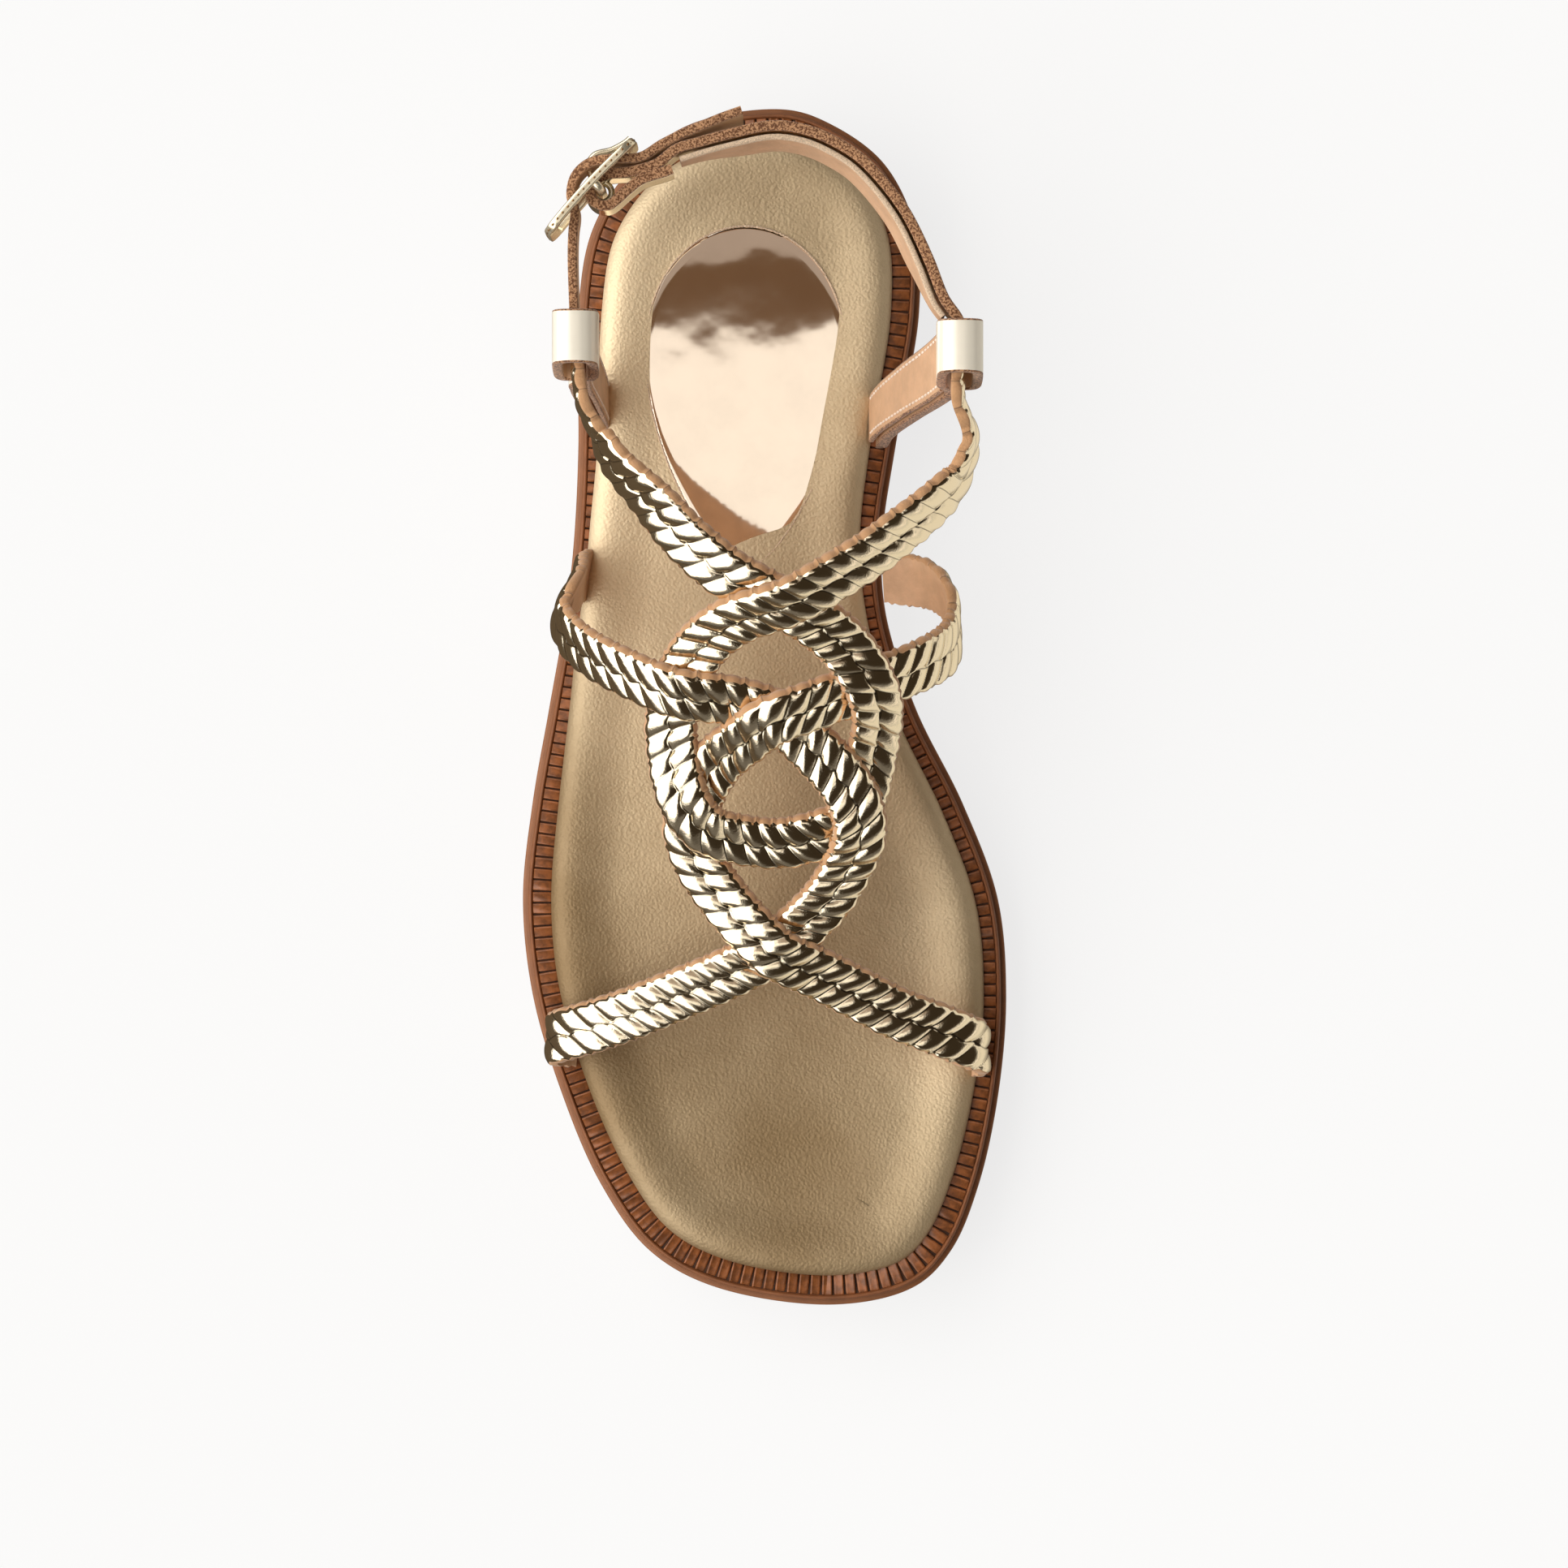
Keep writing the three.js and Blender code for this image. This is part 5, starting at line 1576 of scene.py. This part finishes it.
class SANDAL_OT_ankle_strap(SandalOperator, bpy.types.Operator):
    """Makes the strap round the heel and its lining"""

    bl_idname = "sandal.ankle_strap"
    bl_label = "Ankle strap"

    def make(self):
        route = Curve([ankle_spot(row) for row in ANKLE] + fold_points())
        finishes = [FINISHES["plain"], FINISHES["suede"], FINISHES["plain"]]
        strap = plan_band("heel_strap", route.spaced(300), ANKLE_WALL, ANKLE_WIDTH, finishes)
        dress(strap, "strap", "ankle_strap")
        outer = Curve([ankle_spot(row) for row in ANKLE] + [buckle_spot(FOLD[0])])
        inward = ANKLE_WALL / 2 + 1.5 * CLEARANCE + LINING_WALL / 2
        points = outer.spaced(200)
        front = FRONT_Y + SLEEVE_LENGTH / 2 + CLEARANCE
        points = [p + left_of(heading(points, i)) * inward for i, p in enumerate(points)]
        kept = [p for p in points if p.y > front]
        finishes = [FINISHES["lining"], FINISHES["fray"], FINISHES["lining"]]
        lining = plan_band(
            "heel_lining", kept, LINING_WALL, ANKLE_WIDTH - 2 * CLEARANCE, finishes)
        dress(lining, "lining", "ankle_lining")


class SANDAL_OT_buckle_strap(SandalOperator, bpy.types.Operator):
    """Makes the front strap, which passes through the buckle and ends in its tail"""

    bl_idname = "sandal.buckle_strap"
    bl_label = "Buckle strap"

    def make(self):
        route = Curve([ankle_spot(row) for row in FRONT] + [buckle_spot(row) for row in TAIL])
        finishes = [FINISHES["plain"], FINISHES["suede"], FINISHES["lining"]]
        points = route.spaced(160)
        strap = plan_band("front_strap", points, TAIL_WALL, ANKLE_WIDTH, finishes[::-1])
        dress(strap, "strap", "buckle_strap")


def tube(points, ups, section, joined=False):
    """Rings of a wire along points. section gives places beside the way up and along it."""
    rings = []
    for i, p in enumerate(points):
        ahead = points[(i + 1) % len(points)] - points[i - 1] if joined else heading(points, i)
        side = ahead.normalized().cross(ups[i]).normalized()
        up = side.cross(ahead).normalized()
        rings.append([p + side * a + up * b for a, b in section])
    return rings


def rounded_section(width, height, power=3, steps=16):
    """A closed section between a rectangle and an ellipse."""
    found = []
    for i in range(steps):
        angle = 2 * math.pi * i / steps
        c = math.cos(angle)
        s = math.sin(angle)
        a = math.copysign(abs(c) ** (2 / power), c) * width / 2
        b = math.copysign(abs(s) ** (2 / power), s) * height / 2
        found.append((a, b))
    return found


class SANDAL_OT_buckle(SandalOperator, bpy.types.Operator):
    """Makes the buckle's frame with its bar and its dots, and the prong"""

    bl_idname = "sandal.buckle"
    bl_label = "Buckle"

    def bow(self, run):
        """How far the frame bows outwards at a place along it."""
        return 0.5 * (1 - (run / HALF_BUCKLE) ** 2) - 0.2

    def make(self):
        size = sizes()
        half_run = (BUCKLE_LENGTH - BUCKLE_RAIL) / 2
        half_up = (BUCKLE_HEIGHT - BUCKLE_RAIL) / 2
        corner = BUCKLE_CORNER - BUCKLE_RAIL / 2
        flat = []
        for quarter in range(4):
            sx = (1, -1, -1, 1)[quarter]
            sy = (1, 1, -1, -1)[quarter]
            for k in range(9):
                angle = math.radians(90 * quarter + 90 * k / 8)
                run = sx * (half_run - corner) + corner * math.cos(angle)
                up = sy * (half_up - corner) + corner * math.sin(angle)
                flat.append(Vector((run, up, 0)))
        even = Curve(flat, closed=True).spaced(240)[:-1]
        points = [buckle_point(p.x, p.y, self.bow(p.x)) for p in even]
        ups = [BUCKLE_OUT] * len(points)
        section = rounded_section(BUCKLE_RAIL, BUCKLE_THICKNESS, 6, 20)
        skin = loft(tube(points, ups, section, True), [0] * 20, joined=True)
        wire = Curve([buckle_point(BAR_RUN, half_up * up, out) for up, out in BAR]).spaced(60)
        round_wire = rounded_section(2 * BAR_RADIUS, 2 * BAR_RADIUS, 2, 14)
        rings = tube(wire, [BUCKLE_RUN] * len(wire), round_wire)
        bar_skin = loft(rings, [0] * 14)
        frame_piece = self.joined("buckle_rails", [skin, bar_skin])
        dress(frame_piece, "buckle", "buckle_frame")
        self.prong()
        rim = [self.rim_spot(p) for p in even]
        edge = [(rim, [self.rim_up(even, i) for i in range(len(even))], [1] * len(even), True)]
        front = BUCKLE_THICKNESS / 2 - DOT_SINK
        face = [buckle_point(p.x, p.y, self.bow(p.x) + front) for p in even]
        edge.append((face, ups, [1] * len(face), True))
        dot = in_mm(size.dot_size)
        dots = row_of(
            "buckle_dots", edge, bead_shape(6, 8), in_mm(size.dot_pitch),
            (dot, dot * 0.8, dot * 0.2), FINISHES["dot"], 0.1)
        dress(dots, "buckle")

    def rim_spot(self, p):
        """The place of a dot on the frame's rim, beside a point of its middle line."""
        grow = BUCKLE_RAIL / 2 - DOT_SINK
        half_run = (BUCKLE_LENGTH - BUCKLE_RAIL) / 2
        half_up = (BUCKLE_HEIGHT - BUCKLE_RAIL) / 2
        run = p.x * (1 + grow / half_run)
        up = p.y * (1 + grow / half_up)
        return buckle_point(run, up, self.bow(p.x))

    def rim_up(self, even, i):
        """The way that a dot on the rim faces."""
        ahead = even[(i + 1) % len(even)] - even[i - 1]
        return (BUCKLE_RUN * ahead.y + Vector((0, 0, -ahead.x))).normalized()

    def joined(self, name, skins):
        """One piece of the buckle from several skins."""
        points = []
        faces = []
        slots = []
        for skin_points, skin_faces, skin_slots in skins:
            first = len(points)
            points += skin_points
            faces += [tuple(first + k for k in face) for face in skin_faces]
            slots += skin_slots
        return piece(name, points, faces, slots, [FINISHES["buckle"]], 50)

    def prong(self):
        """The prong's blade with the eye that holds it on the bar."""
        spots = [
            buckle_point(row["run"] * HALF_BUCKLE, 0, row["out"] * HALF_BUCKLE) for row in PRONG
        ]
        points = Curve(spots).spaced(60)
        upright = Vector((0, 0, 1))
        section = rounded_section(PRONG_THICKNESS, PRONG_THICKNESS, 2.4, 14)
        blade = loft(tube(points, [upright] * len(points), section), [0] * 14)
        radius = BAR_RADIUS + CLEARANCE + PRONG_THICKNESS / 2
        eye = []
        for i in range(40):
            angle = 2 * math.pi * i / 40
            run = BAR_RUN + radius * math.cos(angle)
            eye.append(buckle_point(run, 0, radius * math.sin(angle) - BAR_INSET))
        ring = loft(tube(eye, [upright] * 40, section, True), [0] * 14, joined=True)
        prong = self.joined("buckle_tongue", [blade, ring])
        dress(prong, "buckle", "buckle_prong")


# The stage

# Frame and focal length of the photograph in pixels, and the camera's place over the shoe
PHOTO_WIDTH = 1932
FOCAL_PIXELS = 6705
SENSOR_WIDTH = 36
CAMERA_PLACE = (3.54, -13.73, 1000)
# The floor: half its side in metres, its tone and its own glow
FLOOR_REACH = 6
FLOOR_TONE = 0.18
FLOOR_GLOW = 0.79
# What the foil sees of the floor: dark up to the first place across, cream from the second on
TABLE_FADE = (30, 90)
TABLE_SHADES = [(0, (0.1, 0.072, 0.045, 1)), (1, (0.8, 0.74, 0.62, 1))]
# The studio: its walls, the backdrop that the camera sees, and its panels. A panel has a colour, a
# strength and gates, each a measure of the direction with its values where it is shut and open.
STUDIO_DARK = (0.034, 0.024, 0.014)
BACKDROP = (0.93, 0.93, 0.93)
MIDDLE = ("across", 0.32, 0.24)
PANELS = [
    ((1, 0.98, 0.94), 2.8, [("slope_x", -0.2, -0.42), ("slope_x", -9, -5), ("along", 2.6, 1.2)]),
    ((1, 0.95, 0.88), 1.08, [("slope_y", -0.02, -0.032), ("slope_y", -0.42, -0.3), MIDDLE]),
    ((1, 0.52, 0.26), 0.12, [("slope_y", -0.032, -0.02), ("slope_y", 0.036, 0.028), MIDDLE]),
    ((0.8, 0.66, 0.56), 0.5, [("slope_y", 0.028, 0.036), ("slope_y", 0.35, 0.25), MIDDLE]),
    ((1, 0.93, 0.82), 0.9, [("slope_x", 3, 6), ("height", 0, 0.05)]),
    ((1, 0.95, 0.88), 0.12, [("slope_y", -1.6, -2.6), ("height", 0.02, 0.1)]),
]


class SANDAL_OT_stage(SandalOperator, bpy.types.Operator):
    """Makes the floor, the soft studio light and the camera"""

    bl_idname = "sandal.stage"
    bl_label = "Stage"

    def make(self):
        self.floor()
        self.light()
        self.camera()
        bpy.context.scene.view_settings.view_transform = "Standard"

    def floor(self):
        """A white floor. In the foil's reflections it is a table top, dark below and cream beside."""
        mesh = bpy.data.meshes.new("studio_floor")
        reach = FLOOR_REACH
        corners = [(-reach, -reach, 0), (reach, -reach, 0), (reach, reach, 0), (-reach, reach, 0)]
        mesh.from_pydata(corners, [], [(0, 1, 2, 3)])
        material = bpy.data.materials.new("floor_white")
        material.use_nodes = True
        tree = material.node_tree
        shader = tree.nodes["Principled BSDF"]
        values = {
            "Base Color": (FLOOR_TONE, FLOOR_TONE, FLOOR_TONE, 1), "Roughness": 0.9,
            "Specular IOR Level": 0.1, "Emission Color": (1, 1, 1, 1), "Emission Strength": FLOOR_GLOW,
        }
        for key, value in values.items():
            shader.inputs[key].default_value = value
        place = add_node(tree, "ShaderNodeTexCoord").outputs["Object"]
        split = add_node(tree, "ShaderNodeSeparateXYZ")
        tree.links.new(place, split.inputs["Vector"])
        start, end = [value * MM for value in TABLE_FADE]
        across = add_node(tree, "ShaderNodeMapRange", {"From Min": start, "From Max": end})
        tree.links.new(split.outputs["X"], across.inputs["Value"])
        table_top = add_node(tree, "ShaderNodeEmission")
        shades = ramp(tree, across.outputs["Result"], TABLE_SHADES)
        tree.links.new(shades, table_top.inputs["Color"])
        mirrored = add_node(tree, "ShaderNodeMixShader")
        light = add_node(tree, "ShaderNodeLightPath")
        tree.links.new(light.outputs["Is Glossy Ray"], mirrored.inputs[0])
        tree.links.new(shader.outputs[0], mirrored.inputs[1])
        tree.links.new(table_top.outputs[0], mirrored.inputs[2])
        tree.links.new(mirrored.outputs[0], tree.nodes["Material Output"].inputs["Surface"])
        mesh.materials.append(material)
        shown("studio_floor", mesh)

    def light(self):
        """A dark studio with soft panels round it. The camera itself sees a pale backdrop."""
        world = bpy.data.worlds.new("studio")
        world.use_nodes = True
        tree = world.node_tree
        tree.nodes.clear()
        link = tree.links.new
        coordinates = add_node(tree, "ShaderNodeTexCoord")
        split = add_node(tree, "ShaderNodeSeparateXYZ")
        link(coordinates.outputs["Generated"], split.inputs["Vector"])
        x, y, z = [split.outputs[axis] for axis in "XYZ"]

        def maths(operation, *values):
            node = add_node(tree, "ShaderNodeMath", operation=operation)
            for socket, value in zip(node.inputs, values):
                if isinstance(value, (int, float)):
                    socket.default_value = value
                else:
                    link(value, socket)
            return node.outputs[0]

        def step(value, low, high):
            node = add_node(tree, "ShaderNodeMapRange", {"From Min": low, "From Max": high})
            node.interpolation_type = "SMOOTHSTEP"
            link(value, node.inputs["Value"])
            return node.outputs["Result"]

        height = maths("MAXIMUM", z, 0.02)
        measures = {
            "height": z, "slope_x": maths("DIVIDE", x, height), "slope_y": maths("DIVIDE", y, height),
        }
        measures["across"] = maths("ABSOLUTE", measures["slope_x"])
        measures["along"] = maths("ABSOLUTE", measures["slope_y"])
        total = add_node(tree, "ShaderNodeBackground", {"Color": (*STUDIO_DARK, 1)}).outputs[0]
        for shade, strength, gates in PANELS:
            share = strength
            for name, low, high in gates:
                share = maths("MULTIPLY", step(measures[name], low, high), share)
            panel = add_node(tree, "ShaderNodeBackground", {"Color": (*shade, 1)})
            link(share, panel.inputs["Strength"])
            both = add_node(tree, "ShaderNodeAddShader")
            link(total, both.inputs[0])
            link(panel.outputs[0], both.inputs[1])
            total = both.outputs[0]
        pale = add_node(tree, "ShaderNodeBackground", {"Color": (*BACKDROP, 1)})
        seen = add_node(tree, "ShaderNodeMixShader")
        link(add_node(tree, "ShaderNodeLightPath").outputs["Is Camera Ray"], seen.inputs[0])
        link(total, seen.inputs[1])
        link(pale.outputs[0], seen.inputs[2])
        output = add_node(tree, "ShaderNodeOutputWorld")
        link(seen.outputs[0], output.inputs["Surface"])
        bpy.context.scene.world = world

    def camera(self):
        """The photograph's camera, straight above the shoe."""
        data = bpy.data.cameras.new("photo_camera")
        data.sensor_width = SENSOR_WIDTH
        data.lens = SENSOR_WIDTH * FOCAL_PIXELS / PHOTO_WIDTH
        data.clip_end = 20
        camera = bpy.data.objects.new("photo_camera", data)
        camera.location = Vector(CAMERA_PLACE) * MM
        bpy.context.scene.collection.objects.link(camera)
        bpy.context.scene.camera = camera


OPERATORS = (
    SANDAL_OT_outsole, SANDAL_OT_welt, SANDAL_OT_insole, SANDAL_OT_patch,
    SANDAL_OT_rope_straps, SANDAL_OT_side_straps, SANDAL_OT_ankle_strap,
    SANDAL_OT_buckle_strap, SANDAL_OT_buckle, SANDAL_OT_stage,
)


class SANDAL_PT_panel(bpy.types.Panel):
    """Lists the pieces of the sandal"""

    bl_idname = "SANDAL_PT_panel"
    bl_label = "Sandal"
    bl_space_type = "VIEW_3D"
    bl_region_type = "UI"
    bl_category = "Sandal"

    def draw(self, context):
        for group in (context.scene.sandal_sizes, context.scene.sandal_colours):
            for name in group.__annotations__:
                self.layout.prop(group, name)
        for operator in OPERATORS:
            self.layout.operator(operator.bl_idname)


CLASSES = (SandalSizes, SandalColours, *OPERATORS, SANDAL_PT_panel)


def register():
    """Registers the classes and puts the sizes and colours on the scene."""
    for cls in CLASSES:
        bpy.utils.register_class(cls)
    bpy.types.Scene.sandal_sizes = PointerProperty(type=SandalSizes)
    bpy.types.Scene.sandal_colours = PointerProperty(type=SandalColours)


def unregister():
    """Takes them off again."""
    del bpy.types.Scene.sandal_colours
    del bpy.types.Scene.sandal_sizes
    for cls in reversed(CLASSES):
        bpy.utils.unregister_class(cls)


def main():
    """Makes every piece."""
    register()
    for operator in OPERATORS:
        group, name = operator.bl_idname.split(".")
        getattr(getattr(bpy.ops, group), name)()


if __name__ == "__main__":
    main()
